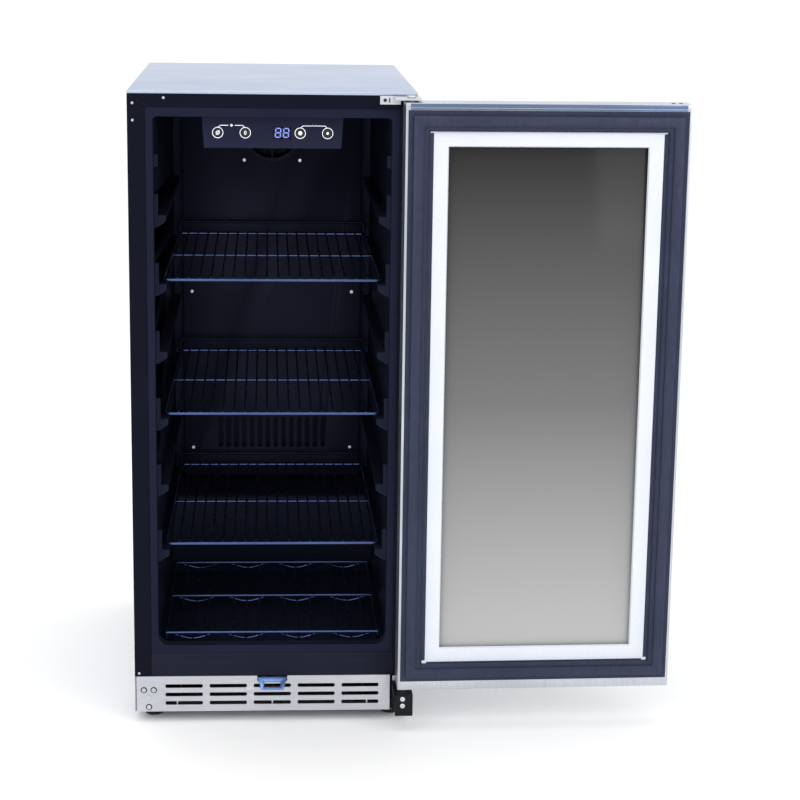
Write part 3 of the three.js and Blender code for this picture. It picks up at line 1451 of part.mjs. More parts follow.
function addWindowTrim() {
  const gasketOuter = inset(doorEdge, RIM_SIDE + GAP, RIM_END + GAP);
  const outer = inset(gasketOuter, GASKET_WIDTH + GAP);
  const y0 = linerPlateY + LINER_PLATE + GAP;
  const y1 = doorInnerY + TRIM_PROUD;
  add(door, "window_trim", ring(outer, windowEdge, y0, y1), whiteTrim);
}

function addPanes() {
  const pane = (y) => centred(paneEdge.x, y, y + PANE, paneEdge.z0, paneEdge.z1);
  add(door, "outer_glass", pane(outerPaneY), glass);
  add(door, "inner_glass", pane(innerPaneY), glass);
  const y0 = outerPaneY + PANE + GAP;
  const y1 = innerPaneY - GAP;
  add(door, "glass_spacer", ring(paneEdge, inset(paneEdge, SPACER_WIDTH), y0, y1), spacerMetal);
}

function addDoorBushes() {
  const outer = BUSH_DIAMETER / 2;
  const inner = PIN_DIAMETER / 2 + PIN_PLAY;
  const spans = {
    lower_door_bush: [DOOR_BOTTOM, DOOR_BOTTOM + BUSH_LENGTH],
    upper_door_bush: [doorTopZ - BUSH_LENGTH, doorTopZ],
  };
  for (const [name, [z0, z1]] of Object.entries(spans)) {
    const profile = [[inner, z0], [outer, z0], [outer, z1], [inner, z1], [inner, z0]];
    add(door, name, turned(profile, hingeX, hingeY, 16), acetal);
  }
}

function addHandle() {
  const x = -doorX + HANDLE_FROM_EDGE;
  const y = doorOuterY - HANDLE_STANDOFF;
  const z0 = HANDLE_CENTRE - HANDLE_LENGTH / 2;
  const z1 = HANDLE_CENTRE + HANDLE_LENGTH / 2;
  add(door, "handle_bar", post(x, y, z0, z1, HANDLE_DIAMETER, 20), brushed);
  const postEnd = y + HANDLE_DIAMETER / 2 + GAP;
  const posts = { lower_handle_post: z0 + POST_INSET, upper_handle_post: z1 - POST_INSET };
  for (const [name, z] of Object.entries(posts)) {
    const body = postAlongY(x, z, postEnd, doorOuterY - GAP, POST_DIAMETER, 16);
    add(door, name, body, brushed);
  }
}

function addLock() {
  const y0 = doorOuterY - 1.5;
  const camY = doorInnerY - DOOR_SHEET - CAM_RECESS - CAM_THICKNESS - CAM_SWEEP_PLAY / 2;
  const y1 = camY - 2;
  const plugR = PLUG_DIAMETER / 2;
  const barrel = cut(
    join(
      postAlongY(0, lockZ, y0, y1, BARREL_DIAMETER, 18),
      postAlongY(0, lockZ, y0, doorOuterY - GAP, BARREL_DIAMETER + 4, 18),
    ),
    postAlongY(0, lockZ, y0 - OVER, y1 + OVER, PLUG_DIAMETER + 0.4, 18),
  );
  add(door, "lock_barrel", barrel, brushed);
  const plug = postAlongY(0, lockZ, y0 + 0.3, camY + CAM_THICKNESS, 2 * plugR, 18);
  const key = KEYWAY_WIDTH / 2;
  const tall = KEYWAY_HEIGHT / 2;
  const keyway = block(-key, key, y0 - OVER, y0 + KEYWAY_DEPTH, lockZ - tall, lockZ + tall);
  const half = CAM_WIDTH / 2;
  const arm = block(0, CAM_LENGTH, camY, camY + CAM_THICKNESS, lockZ - half, lockZ + half);
  add(door, "lock_cam", join(cut(plug, keyway), arm), pinSteel);
}

// ---------------------------------------------------------------- assembly

addTopPanel();
addSidePanel("left_side_panel", -1);
addSidePanel("right_side_panel", 1);
addRearPanels();
addFrontFrame();
addLowerTrim();
addLiner();
addInsulation();
addMachineBayRoof();
addBasePan();
addFeet();
addCompressor();
addCondenser();
addCondenserFan();
addDrainTray();
addEvaporatorCover();
addFanGuard();
addEvaporator();
addEvaporatorFan();
addControls();
addShelves();
addKickPlate();
addLockStrike();
addUpperHinge();
addLowerHinge();
addDoorSkin();
addDoorCore();
addDoorLiner();
addGasket();
addWindowTrim();
addPanes();
addDoorBushes();
addHandle();
addLock();

// Stand the whole object centred on the origin, on the floor.
fridge.updateMatrixWorld(true);
const extent = new THREE.Box3().setFromObject(fridge, true);
const middle = extent.getCenter(new THREE.Vector3());
cabinet.position.set(-middle.x, -middle.y, -extent.min.z);
fridge.updateMatrixWorld(true);

export default fridge;
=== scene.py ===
"""Finished looks of a built-in, glass-door beverage cooler whose door stands open.

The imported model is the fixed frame: places are read off its nodes, and the sizes that it does
not give are in millimetres on the class of the sub-assembly that they belong to. Profiles for
the lathe list a radius and a distance along the axis for each station.
"""
import json
import logging
import math
import random
from dataclasses import dataclass
from enum import Enum
from typing import Any, Callable, Iterable, Sequence

import bmesh
import bpy
from mathutils import Matrix, Vector


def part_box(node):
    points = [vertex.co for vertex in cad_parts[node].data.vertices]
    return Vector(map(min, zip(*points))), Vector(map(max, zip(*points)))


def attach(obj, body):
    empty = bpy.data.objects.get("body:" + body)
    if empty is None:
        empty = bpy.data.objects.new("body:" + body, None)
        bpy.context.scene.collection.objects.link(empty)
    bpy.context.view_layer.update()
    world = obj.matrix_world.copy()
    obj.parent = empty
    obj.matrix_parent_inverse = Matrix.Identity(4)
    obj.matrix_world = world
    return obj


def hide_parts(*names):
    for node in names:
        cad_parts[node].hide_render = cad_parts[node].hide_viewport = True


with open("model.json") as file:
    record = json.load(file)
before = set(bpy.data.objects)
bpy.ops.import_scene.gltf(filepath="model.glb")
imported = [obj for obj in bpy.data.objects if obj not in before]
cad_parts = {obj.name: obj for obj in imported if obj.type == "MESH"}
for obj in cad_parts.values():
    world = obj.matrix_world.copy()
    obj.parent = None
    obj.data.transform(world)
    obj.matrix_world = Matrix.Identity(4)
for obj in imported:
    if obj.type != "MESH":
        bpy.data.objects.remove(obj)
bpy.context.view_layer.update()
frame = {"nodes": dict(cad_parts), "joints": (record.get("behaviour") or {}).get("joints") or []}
LOG = logging.getLogger("cooler")
MM = 0.001
Point = Sequence[float]
UPWARDS: Point = (0, 0, 1)
BACKWARDS: Point = (0, 1, 0)  # into the cabinet, away from its front face
FORWARDS: Point = (0, -1, 0)


# ---------------------------------------------------------------- places


@dataclass(frozen=True)
class Datum:
    """The cabinet's own frame: x = 0 on its centre plane, y = 0 on its front face, in millimetres."""

    x: float
    y: float

    @classmethod
    def of_cabinet(cls) -> "Datum":
        """Reads the datum off the top panel, which covers the cabinet from edge to edge."""
        low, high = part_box("top_panel")
        return cls((low.x + high.x) / 2, low.y)

    def at(self, x: float, y: float, z: float) -> Vector:
        """Turns cabinet millimetres into a place in the frame.

        Args:
            x: Distance right of the centre plane.
            y: Distance behind the front face.
            z: Height above the floor.

        Returns:
            The place in metres.
        """
        return Vector((self.x + x * MM, self.y + y * MM, z * MM))

    def span(self, node: str) -> tuple[Vector, Vector]:
        """Gives a node's lowest and highest corner in cabinet millimetres.

        Args:
            node: Name of a CAD node that isn't on the door.

        Returns:
            The two corners.
        """
        shift = Vector((self.x, self.y, 0))
        low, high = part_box(node)
        return (low - shift) / MM, (high - shift) / MM


DATUM = Datum.of_cabinet()


def door_swing() -> Matrix:
    """Works out the turn that carries the shut door to where it stands open.

    Returns:
        The turn about the hinge axis.
    """
    hinge = next(joint for joint in frame["joints"] if joint["name"] == "door_hinge")
    axis = Vector(hinge["pos_m"])
    turn = Matrix.Rotation(math.radians(-hinge["range_deg"][0]), 4, "Z")
    return Matrix.Translation(axis) @ turn @ Matrix.Translation(-axis)


DOOR_SWING = door_swing()


def door_span(node: str) -> tuple[Vector, Vector]:
    """Gives a door node's corners with the door shut, in cabinet millimetres.

    Args:
        node: Name of a CAD node on the door.

    Returns:
        The lowest and the highest corner.
    """
    back = DOOR_SWING.inverted()
    places = [back @ vertex.co for vertex in frame["nodes"][node].data.vertices]
    shift = Vector((DATUM.x, DATUM.y, 0))
    low = Vector([min(place[i] for place in places) for i in range(3)])
    high = Vector([max(place[i] for place in places) for i in range(3)])
    return (low - shift) / MM, (high - shift) / MM


# ---------------------------------------------------------------- modelling tools


def clear_selection() -> None:
    """Leaves edit mode and deselects every object."""
    if bpy.context.mode != "OBJECT":
        bpy.ops.object.mode_set(mode="OBJECT")
    bpy.ops.object.select_all(action="DESELECT")


def choose(*objects: bpy.types.Object) -> None:
    """Selects just these objects and makes the first one active.

    Args:
        objects: The objects.
    """
    clear_selection()
    for item in objects:
        item.select_set(True)
    bpy.context.view_layer.objects.active = objects[0]


def edit(piece: bpy.types.Object, mode: str = "VERT") -> bmesh.types.BMesh:
    """Opens a piece in edit mode with all of it selected.

    Args:
        piece: The piece to shape.
        mode: VERT, EDGE or FACE.

    Returns:
        The mesh that is being edited.
    """
    choose(piece)
    bpy.ops.object.mode_set(mode="EDIT")
    bpy.ops.mesh.select_mode(type=mode)
    bpy.ops.mesh.select_all(action="SELECT")
    return bmesh.from_edit_mesh(piece.data)


def pick(
    mesh: bmesh.types.BMesh, piece: bpy.types.Object, parts: str, keep: Callable[[Any], bool]
) -> None:
    """Selects the vertices, edges or faces that a rule names.

    Args:
        mesh: The mesh that is being edited.
        piece: The piece that it belongs to.
        parts: verts, edges or faces.
        keep: The rule, given one element.
    """
    bpy.ops.mesh.select_all(action="DESELECT")
    for element in getattr(mesh, parts):
        if keep(element):
            element.select_set(True)
    mesh.select_flush_mode()
    bmesh.update_edit_mesh(piece.data)


def done() -> None:
    """Goes back to object mode."""
    bpy.ops.object.mode_set(mode="OBJECT")


def settle(piece: bpy.types.Object, name: str) -> bpy.types.Object:
    """Names a piece and moves its place into its mesh.

    Args:
        piece: The piece, with any turn or scale still on its object.
        name: Its final name.

    Returns:
        The piece, at the origin.
    """
    piece.name = name
    piece.data.name = name
    choose(piece)
    bpy.ops.object.transform_apply(location=True, rotation=True, scale=True)
    return piece


def smooth(piece: bpy.types.Object, degrees: float = 35) -> None:
    """Shades a piece smooth, with creases kept where faces meet sharply.

    Args:
        piece: The piece.
        degrees: Faces that meet more sharply than this keep their crease.
    """
    choose(piece)
    bpy.ops.object.shade_smooth_by_angle(angle=math.radians(degrees))


def apply_modifier(piece: bpy.types.Object, kind: str, **settings: Any) -> None:
    """Adds a modifier with its settings and applies it.

    Args:
        piece: The piece that takes it.
        kind: The modifier's type name.
        settings: Its properties.
    """
    choose(piece)
    modifier = piece.modifiers.new(kind.lower(), kind)
    for key, value in settings.items():
        setattr(modifier, key, value)
    bpy.ops.object.modifier_apply(modifier=modifier.name)


def round_edges(piece: bpy.types.Object, width: float, segments: int = 2, degrees: float = 30) -> None:
    """Rounds a piece's sharp edges.

    Args:
        piece: The piece.
        width: Width of the rounding in millimetres.
        segments: Steps across it.
        degrees: Edges sharper than this are rounded.
    """
    apply_modifier(
        piece,
        "BEVEL",
        width=width * MM,
        segments=segments,
        limit_method="ANGLE",
        angle_limit=math.radians(degrees),
        miter_outer="MITER_ARC",
    )
    smooth(piece)


def tidy_normals(piece: bpy.types.Object) -> None:
    """Merges doubled points and turns every face outwards.

    Args:
        piece: The piece, of one or more closed bodies.
    """
    edit(piece)
    bpy.ops.mesh.remove_doubles(threshold=0.01 * MM)
    bpy.ops.mesh.normals_make_consistent(inside=False)
    done()


def refit(
    node: str, name: str, width: float = 0.5, segments: int = 2, merge: bool = True
) -> bpy.types.Object:
    """Copies a CAD node, merges its loose triangles into faces and rounds its edges.

    Args:
        node: The node to copy.
        name: Name of the new piece.
        width: Rounding of its edges in millimetres.
        segments: Steps across the rounding.
        merge: False keeps the triangles, which suits sheets with many holes.

    Returns:
        The new piece.
    """
    mesh = frame["nodes"][node].data.copy()
    piece = bpy.data.objects.new(name, mesh)
    bpy.context.scene.collection.objects.link(piece)
    mesh.name = name
    mesh.materials.clear()
    edit(piece)
    bpy.ops.mesh.remove_doubles(threshold=0.004 * MM)
    if merge:
        bpy.ops.mesh.dissolve_limited(angle_limit=math.radians(1))
    done()
    round_edges(piece, width, segments)
    return piece


def boolean(piece: bpy.types.Object, tool: bpy.types.Object, operation: str = "DIFFERENCE") -> None:
    """Cuts a piece with a tool, or joins them into one body, and removes the tool.

    Args:
        piece: The piece that is changed.
        tool: The other body.
        operation: DIFFERENCE or UNION.
    """
    apply_modifier(piece, "BOOLEAN", operation=operation, object=tool, solver="EXACT")
    bpy.data.objects.remove(tool)


def block(
    name: str, low: Point, high: Point, rounding: float = 0.5, segments: int = 3
) -> bpy.types.Object:
    """Makes a block between two corners and rounds all its edges.

    Args:
        name: Name of the piece.
        low: Lowest corner in cabinet millimetres.
        high: Highest corner.
        rounding: Radius of its edges in millimetres.
        segments: Steps round each edge.

    Returns:
        The block.
    """
    a, b = DATUM.at(*low), DATUM.at(*high)
    clear_selection()
    bpy.ops.mesh.primitive_cube_add(size=1, location=(a + b) / 2)
    cube = bpy.context.object
    cube.scale = b - a
    settle(cube, name)
    edit(cube, "EDGE")
    bpy.ops.mesh.bevel(offset=rounding * MM, segments=segments, affect="EDGES")
    done()
    smooth(cube)
    return cube


def stood_at(foot: Point, along: Point) -> Matrix:
    """Gives the move that stands a piece, made upright at the origin, in its place.

    Args:
        foot: Where its axis starts, in cabinet millimetres.
        along: Direction of the axis.

    Returns:
        The move.
    """
    turn = Vector(UPWARDS).rotation_difference(Vector(along)).to_matrix().to_4x4()
    return Matrix.Translation(DATUM.at(*foot)) @ turn


def turned(
    name: str, profile: Sequence[Point], foot: Point, along: Point = UPWARDS, sides: int = 48
) -> bpy.types.Object:
    """Turns a piece on a lathe: a ring is drawn out from station to station and capped.

    Args:
        name: Name of the piece.
        profile: Radius and distance along the axis of each station, in millimetres.
        foot: Where the axis starts, in cabinet millimetres.
        along: Direction of the axis.
        sides: Corners of the ring.

    Returns:
        The turned piece.
    """
    clear_selection()
    radius, place = profile[0]
    bpy.ops.mesh.primitive_circle_add(vertices=sides, radius=radius * MM, location=(0, 0, place * MM))
    piece = bpy.context.object
    settle(piece, name)
    edit(piece)
    for wide, next_place in profile[1:]:
        rise = (next_place - place) * MM
        bpy.ops.mesh.extrude_region_move(TRANSFORM_OT_translate={"value": (0, 0, rise)})
        grow = wide / radius
        bpy.ops.transform.resize(value=(grow, grow, 1))
        radius, place = wide, next_place
    bpy.ops.mesh.edge_face_add()
    mesh = bmesh.from_edit_mesh(piece.data)
    pick(mesh, piece, "edges", lambda edge: edge.is_boundary)
    bpy.ops.mesh.edge_face_add()
    done()
    tidy_normals(piece)
    piece.data.transform(stood_at(foot, along))
    smooth(piece)
    return piece


def hoop(
    name: str, section: Sequence[Point], foot: Point, along: Point = UPWARDS, sides: int = 48
) -> bpy.types.Object:
    """Spins a closed section round an axis, as a washer or a ring has it.

    Args:
        name: Name of the piece.
        section: Radius and distance along the axis of each corner, in millimetres.
        foot: Where the axis starts, in cabinet millimetres.
        along: Direction of the axis.
        sides: Steps round the ring.

    Returns:
        The ring.
    """
    clear_selection()
    bpy.ops.mesh.primitive_circle_add(vertices=len(section), radius=MM)
    piece = settle(bpy.context.object, name)
    for vertex, (radius, rise) in zip(piece.data.vertices, section):
        vertex.co = (radius * MM, 0, rise * MM)
    edit(piece, "EDGE")
    bpy.ops.mesh.spin(steps=sides, angle=2 * math.pi, center=(0, 0, 0), axis=(0, 0, 1))
    done()
    tidy_normals(piece)
    piece.data.transform(stood_at(foot, along))
    smooth(piece)
    return piece


def eased(points: Sequence[Point], radius: float, closed: bool = False, steps: int = 5) -> list[Vector]:
    """Rounds the corners of a route as a bar bent round a former has them.

    Args:
        points: The corners, in cabinet millimetres.
        radius: How far from each corner the bend starts.
        closed: Whether the last point joins the first.
        steps: Points in each bend.

    Returns:
        The route with its bends.
    """
    corners = [Vector(point) for point in points]
    count = len(corners)
    route: list[Vector] = []
    for i, corner in enumerate(corners):
        if not closed and i in (0, count - 1):
            route.append(corner)
            continue
        before = corners[i - 1]
        after = corners[(i + 1) % count]
        start = corner + (before - corner).normalized() * radius
        end = corner + (after - corner).normalized() * radius
        for step in range(steps + 1):
            t = step / steps
            route.append(start * (1 - t) ** 2 + corner * 2 * t * (1 - t) + end * t * t)
    return route


def rod(
    name: str, route: Sequence[Point], diameter: float, closed: bool = False, resolution: int = 3
) -> bpy.types.Object:
    """Bends a round rod along a route.

    Args:
        name: Name of the piece.
        route: Its points in cabinet millimetres.
        diameter: The rod's diameter in millimetres.
        closed: Whether its ends are welded together.
        resolution: Blender's steps round the section.

    Returns:
        The rod as a mesh.
    """
    clear_selection()
    bpy.ops.curve.primitive_nurbs_path_add()
    rail = bpy.context.object
    curve = rail.data
    curve.splines.clear()
    spline = curve.splines.new("POLY")
    spline.points.add(len(route) - 1)
    for point, place in zip(spline.points, route):
        point.co = (*DATUM.at(*place), 1)
    spline.use_cyclic_u = closed
    curve.dimensions = "3D"
    curve.bevel_depth = diameter / 2 * MM
    curve.bevel_resolution = resolution
    curve.use_fill_caps = True
    bpy.ops.object.convert(target="MESH")
    piece = settle(bpy.context.object, name)
    tidy_normals(piece)
    smooth(piece, 50)
    return piece


def join(name: str, pieces: Sequence[bpy.types.Object]) -> bpy.types.Object:
    """Joins pieces into one.

    Args:
        name: Name of the joined piece.
        pieces: What it is made of.

    Returns:
        The joined piece.
    """
    choose(*pieces)
    bpy.ops.object.join()
    return settle(bpy.context.object, name)


def copy_of(piece: bpy.types.Object, name: str, change: Matrix) -> bpy.types.Object:
    """Copies a piece with a mesh of its own.

    Args:
        piece: What is copied.
        name: Name of the copy.
        change: The move or turn baked into the copy's mesh.

    Returns:
        The copy.
    """
    twin = piece.copy()
    twin.data = piece.data.copy()
    twin.name = name
    twin.data.name = name
    bpy.context.scene.collection.objects.link(twin)
    twin.data.transform(change)
    return twin


def swept_frame(
    name: str, outer: tuple[float, float, float], y: float, section: Sequence[Point]
) -> bpy.types.Object:
    """Draws a section round a rectangle with mitred corners, as a moulding is.

    Args:
        name: Name of the piece.
        outer: Half width, bottom and top of the outer edge, in cabinet millimetres.
        y: Where the section's foot lies.
        section: Steps inwards and towards +y, in millimetres, that start and end at the foot.

    Returns:
        The closed frame.
    """
    half, bottom, top = outer
    low, high = DATUM.at(-half, y, bottom), DATUM.at(half, y, top)
    clear_selection()
    bpy.ops.mesh.primitive_plane_add(size=1, location=(low + high) / 2, rotation=(-math.pi / 2, 0, 0))
    piece = bpy.context.object
    piece.scale = (high.x - low.x, high.z - low.z, 1)
    settle(piece, name)
    edit(piece, "FACE")
    for inward, rise in section:
        bpy.ops.mesh.inset(thickness=inward * MM, depth=rise * MM, use_even_offset=True)
    bpy.ops.mesh.delete(type="FACE")
    mesh = bmesh.from_edit_mesh(piece.data)
    bpy.ops.mesh.select_mode(type="EDGE")
    pick(mesh, piece, "edges", lambda edge: edge.is_boundary)
    bpy.ops.mesh.bridge_edge_loops()
    done()
    tidy_normals(piece)
    return piece


# ---------------------------------------------------------------- finishes


def linear(colour: str) -> tuple[float, float, float, float]:
    """Turns an sRGB hex colour to linear light.

    Args:
        colour: Six hex digits.

    Returns:
        Red, green, blue and a full alpha.
    """
    values = [int(colour[i : i + 2], 16) / 255 for i in (0, 2, 4)]
    light = [v / 12.92 if v <= 0.04045 else ((v + 0.055) / 1.055) ** 2.4 for v in values]
    return (*light, 1.0)


def add_node(
    tree: bpy.types.NodeTree, kind: str, inputs: dict[str | int, Any] | None = None, **settings: Any
) -> bpy.types.Node:
    """Adds a node with its settings, values and links.

    Args:
        tree: The material's node tree.
        kind: The node's type name without the ShaderNode prefix.
        inputs: Value or output socket for each input, by name or number.
        settings: The node's own properties.

    Returns:
        The node.
    """
    node = tree.nodes.new("ShaderNode" + kind)
    for key, value in settings.items():
        setattr(node, key, value)
    for key, value in (inputs or {}).items():
        socket = node.inputs[key]
        if isinstance(value, bpy.types.NodeSocket):
            tree.links.new(value, socket)
        else:
            socket.default_value = value
    return node


class Grain(Enum):
    """How a surface was made, which sets the pattern on it."""

    BRUSHED = "long scratches along one axis"
    POWDER = "the orange peel of a baked powder coat"
    MOULDED = "the fine spark-eroded texture of a mould"
    POLISHED = "a smooth moulded or drawn surface with faint waves"
    SPANGLE = "the crystal flowers of hot-dip zinc"
    CAST = "the coarse skin of a casting"
    CELLS = "the open cells of foam"


@dataclass(frozen=True)
class Finish:
    """A real material and how its surface was made."""

    name: str
    slot: str
    colour: str
    shade: str
    gloss: tuple[float, float]  # roughness at its smoothest and roughest
    grain: Grain = Grain.POLISHED
    grain_mm: float = 1.5
    relief_mm: float = 0.03
    stretch: tuple[float, float, float] = (1, 1, 1)
    metallic: float = 0.0
    ior: float = 1.5
    coat: float = 0.0
    glow: float = 0.0
    specular: float = 0.5
    tint: str = "FFFFFF"  # colour of what the surface reflects; the blues given to the dark plastics, the enamel, the gasket and the wire paint a blue cast onto their reflections
    patch_mm: float = 90.0  # size of the broad unevenness from handling and forming

    def pattern(self, tree: bpy.types.NodeTree) -> bpy.types.NodeSocket:
        """Makes the fine pattern of the grain.

        Args:
            tree: The material's node tree.

        Returns:
            The pattern's socket, from 0 to 1.
        """
        coords = add_node(tree, "TexCoord")
        size = 1 / (self.grain_mm * MM)
        scale = [size * axis for axis in self.stretch]
        mapped = add_node(tree, "Mapping", {"Vector": coords.outputs["Object"], "Scale": scale})
        place = {"Vector": mapped.outputs[0], "Scale": 1.0}
        if self.grain is Grain.SPANGLE:
            cells = add_node(tree, "TexVoronoi", place)
            return add_node(tree, "SeparateColor", {0: cells.outputs["Color"]}).outputs[0]
        if self.grain is Grain.CELLS:
            return add_node(tree, "TexVoronoi", place).outputs["Distance"]
        detail = {Grain.BRUSHED: 4.0, Grain.CAST: 5.0, Grain.MOULDED: 3.0}.get(self.grain, 1.5)
        noise = add_node(tree, "TexNoise", {**place, "Detail": detail, "Roughness": 0.6})
        return noise.outputs["Fac"]

    def patches(self, tree: bpy.types.NodeTree) -> bpy.types.NodeSocket:
        """Makes the broad unevenness.

        Args:
            tree: The material's node tree.

        Returns:
            The pattern's socket, from 0 to 1.
        """
        place = add_node(tree, "TexCoord").outputs["Object"]
        scale = 1 / (self.patch_mm * MM)
        noise = add_node(tree, "TexNoise", {"Vector": place, "Scale": scale, "Detail": 3.0})
        return noise.outputs["Fac"]

    def make(self) -> bpy.types.Material:
        """Builds the material, or finds the one already built.

        Returns:
            The material.
        """
        if self.name in bpy.data.materials:
            return bpy.data.materials[self.name]
        material = bpy.data.materials.new(self.name)
        material.use_nodes = True
        tree = material.node_tree
        tree.nodes.clear()
        fine, broad = self.pattern(tree), self.patches(tree)
        both = add_node(tree, "Math", {0: fine, 1: broad}, operation="MULTIPLY")
        # the product of two noises seldom leaves this range
        reach = {"Value": both.outputs[0], "From Min": 0.12, "From Max": 0.42}
        spread = add_node(tree, "MapRange", reach).outputs[0]
        colour = self.mixed(tree, spread)
        smoothest, roughest = self.gloss
        gloss = add_node(tree, "MapRange", {"Value": spread, "To Min": roughest, "To Max": smoothest})
        depth = self.relief_mm * MM
        relief = add_node(tree, "Bump", {"Height": fine, "Strength": 0.6, "Distance": depth})
        shader = add_node(
            tree,
            "BsdfPrincipled",
            {
                "Base Color": colour,
                "Roughness": gloss.outputs[0],
                "Normal": relief.outputs[0],
                "Metallic": self.metallic,
                "Coat Weight": self.coat,
                "Coat Roughness": 0.12,
            },
        )
        if not self.metallic:
            shader.inputs["IOR"].default_value = self.ior
            shader.inputs["Specular IOR Level"].default_value = self.specular
            shader.inputs["Specular Tint"].default_value = linear(self.tint)
        if self.glow:
            shader.inputs["Emission Color"].default_value = linear(self.colour)
            shader.inputs["Emission Strength"].default_value = self.glow
        add_node(tree, "OutputMaterial", {"Surface": shader.outputs[0]})
        return material

    def mixed(self, tree: bpy.types.NodeTree, factor: bpy.types.NodeSocket) -> bpy.types.NodeSocket:
        """Blends the shade and the colour by a pattern.

        Args:
            tree: The material's node tree.
            factor: The pattern, from 0 for the shade to 1 for the colour.

        Returns:
            The colour's socket.
        """
        ramp = add_node(tree, "ValToRGB", {"Fac": factor})
        ramp.color_ramp.elements[0].color = linear(self.shade)
        ramp.color_ramp.elements[1].color = linear(self.colour)
        return ramp.outputs["Color"]


# Satin stainless sheet, rolled across the cabinet: pale, faintly blue, with a soft lengthwise grain.
SATIN_TOP = Finish(
    "satin_stainless_sheet", "stainless", "BAC5D9", "B0BBD0", (0.34, 0.46),
    Grain.BRUSHED, 0.9, 0.01, (0.02, 1, 1), metallic=1.0,
)
# The same sheet on the sides, where the grain stands upright.
SATIN_SIDE = Finish(
    "satin_stainless_side_sheet", "stainless", "ABB1BC", "A3AAB6", (0.36, 0.44),
    Grain.BRUSHED, 0.9, 0.01, (1, 1, 0.02), metallic=1.0,
)
# Brushed stainless on the kick plate, hinges and trim: grain runs left to right.
BRUSHED_ACROSS = Finish(
    "brushed_stainless_across", "brushed_steel", "D3D5DA", "BFC2C9", (0.28, 0.44),
    Grain.BRUSHED, 0.8, 0.012, (0.03, 1, 1), metallic=1.0,
)
# Brushed stainless on the door: grain runs up and down.
BRUSHED_UPRIGHT = Finish(
    "brushed_stainless_upright", "brushed_steel", "C9CDD4", "B3B8C1", (0.24, 0.40),
    Grain.BRUSHED, 0.8, 0.012, (1, 1, 0.03), metallic=1.0,
)
# The strips along the door's top edge: the door's stainless steel coloured a darker blue, which is painted
# shade on the rim.
HEM_PAINTED_SHADE = Finish(
    "blued_stainless_hem", "brushed_steel", "6E7E9C", "61718F", (0.22, 0.36),
    Grain.BRUSHED, 0.8, 0.012, (0.03, 1, 1), metallic=1.0,
)
# Hot-dip galvanised sheet: grey with crystal flowers that catch the light one by one.
GALVANISED = Finish(
    "galvanised_sheet", "galvanised", "A6ABB2", "989EA5", (0.42, 0.54),
    Grain.SPANGLE, 6, 0.02, metallic=0.9,
)
# Cold-rolled steel under black baked enamel: deep, a little blue, nearly smooth.
BLACK_ENAMEL = Finish(
    "black_enamelled_steel", "black_steel", "11121B", "0C0D15", (0.28, 0.40),
    Grain.POWDER, 1.8, 0.02, ior=1.5, specular=0.12, tint="A9B4F0",
)
# Cast iron dipped black: a coarse skin that hardly shines.
BLACK_CASTING = Finish(
    "black_cast_iron", "casting_black", "0D0E12", "08080B", (0.4, 0.58), Grain.CAST, 1.2, 0.12,
    specular=0.2,
)
# Black lacquer sprayed on the compressor's drawn shell.
BLACK_LACQUER = Finish(
    "black_lacquered_shell", "compressor_black", "101114", "0A0A0D", (0.28, 0.45),
    Grain.POWDER, 1.5, 0.05, coat=0.2,
)
# Vacuum-formed high-impact polystyrene: very dark navy, satin, with faint waves from forming.
LINER_PLASTIC = Finish(
    "dark_formed_polystyrene", "liner_plastic", "1B1D2B", "151722", (0.30, 0.44),
    Grain.MOULDED, 1.4, 0.02, specular=0.22, tint="9FAEF2", patch_mm=140,
)
# Moulded ABS of the trim below the opening: black, satin, with a fine mould texture.
TRIM_PLASTIC = Finish(
    "black_moulded_abs", "trim_black", "1E1F2B", "171823", (0.36, 0.5), Grain.MOULDED, 1.2, 0.03,
    specular=0.2, tint="B4BDF0",
)
# Moulded polypropylene of the cover over the cooling coil: softer and duller than the liner. Its colour is
# lighter than the liner's, which is painted light for the brighter back of the cabin.
COVER_PLASTIC = Finish(
    "black_moulded_polypropylene", "cover_plastic", "25263A", "1E1F30", (0.36, 0.52),
    Grain.MOULDED, 1.6, 0.03, specular=0.3, tint="B9C0EE",
)
# Poured polyurethane foam: straw yellow, dull, with small open cells.
FOAM = Finish(
    "poured_polyurethane_foam", "foam", "DDCB93", "BFA969", (0.85, 0.95), Grain.CELLS, 3, 0.4,
)
# Nitrile rubber of the mains grommet: dull black, slightly dusty. On the discs under the kick plate's screws
# and on the marks for the upper hinge's socket and slot, the same black is painted shade.
BLACK_RUBBER_AND_PAINTED_SHADE = Finish(
    "black_nitrile_rubber", "rubber_black", "17181B", "101113", (0.6, 0.78), Grain.MOULDED, 1.2, 0.05,
)
# Harder rubber of the feet, scuffed where it meets the floor.
FOOT_RUBBER = Finish(
    "black_foot_rubber", "foot_black", "131416", "0B0B0D", (0.4, 0.62), Grain.MOULDED, 1.5, 0.06,
)
# Extruded soft PVC of the gasket: slate navy with a dull sheen.
GASKET_PVC = Finish(
    "slate_soft_pvc", "gasket", "33374A", "292D3F", (0.34, 0.48), Grain.POLISHED, 3, 0.04,
    (1, 1, 0.2), ior=1.53, specular=0.4, tint="B4C0E0",
)
# Gloss white ABS frame around the window: bright and clean, with long soft highlights.
WHITE_ABS = Finish(
    "gloss_white_abs", "trim_white", "DEE1EA", "D6DAE4", (0.22, 0.32), Grain.POLISHED, 4, 0.01,
)
# Bent aluminium spacer between the panes: bare mill finish with drawing lines.
SPACER_METAL = Finish(
    "mill_aluminium_spacer", "spacer_metal", "B4B8BD", "9DA2A8", (0.3, 0.45),
    Grain.BRUSHED, 0.8, 0.01, (0.05, 1, 0.05), metallic=1.0,
)
# Aluminium tube and fins of the cooling coil, dulled by frost.
COIL_ALUMINIUM = Finish(
    "frosted_aluminium_tube", "coil_aluminium", "A9ADB2", "8B9096", (0.4, 0.6),
    Grain.CAST, 1.5, 0.03, metallic=1.0,
)
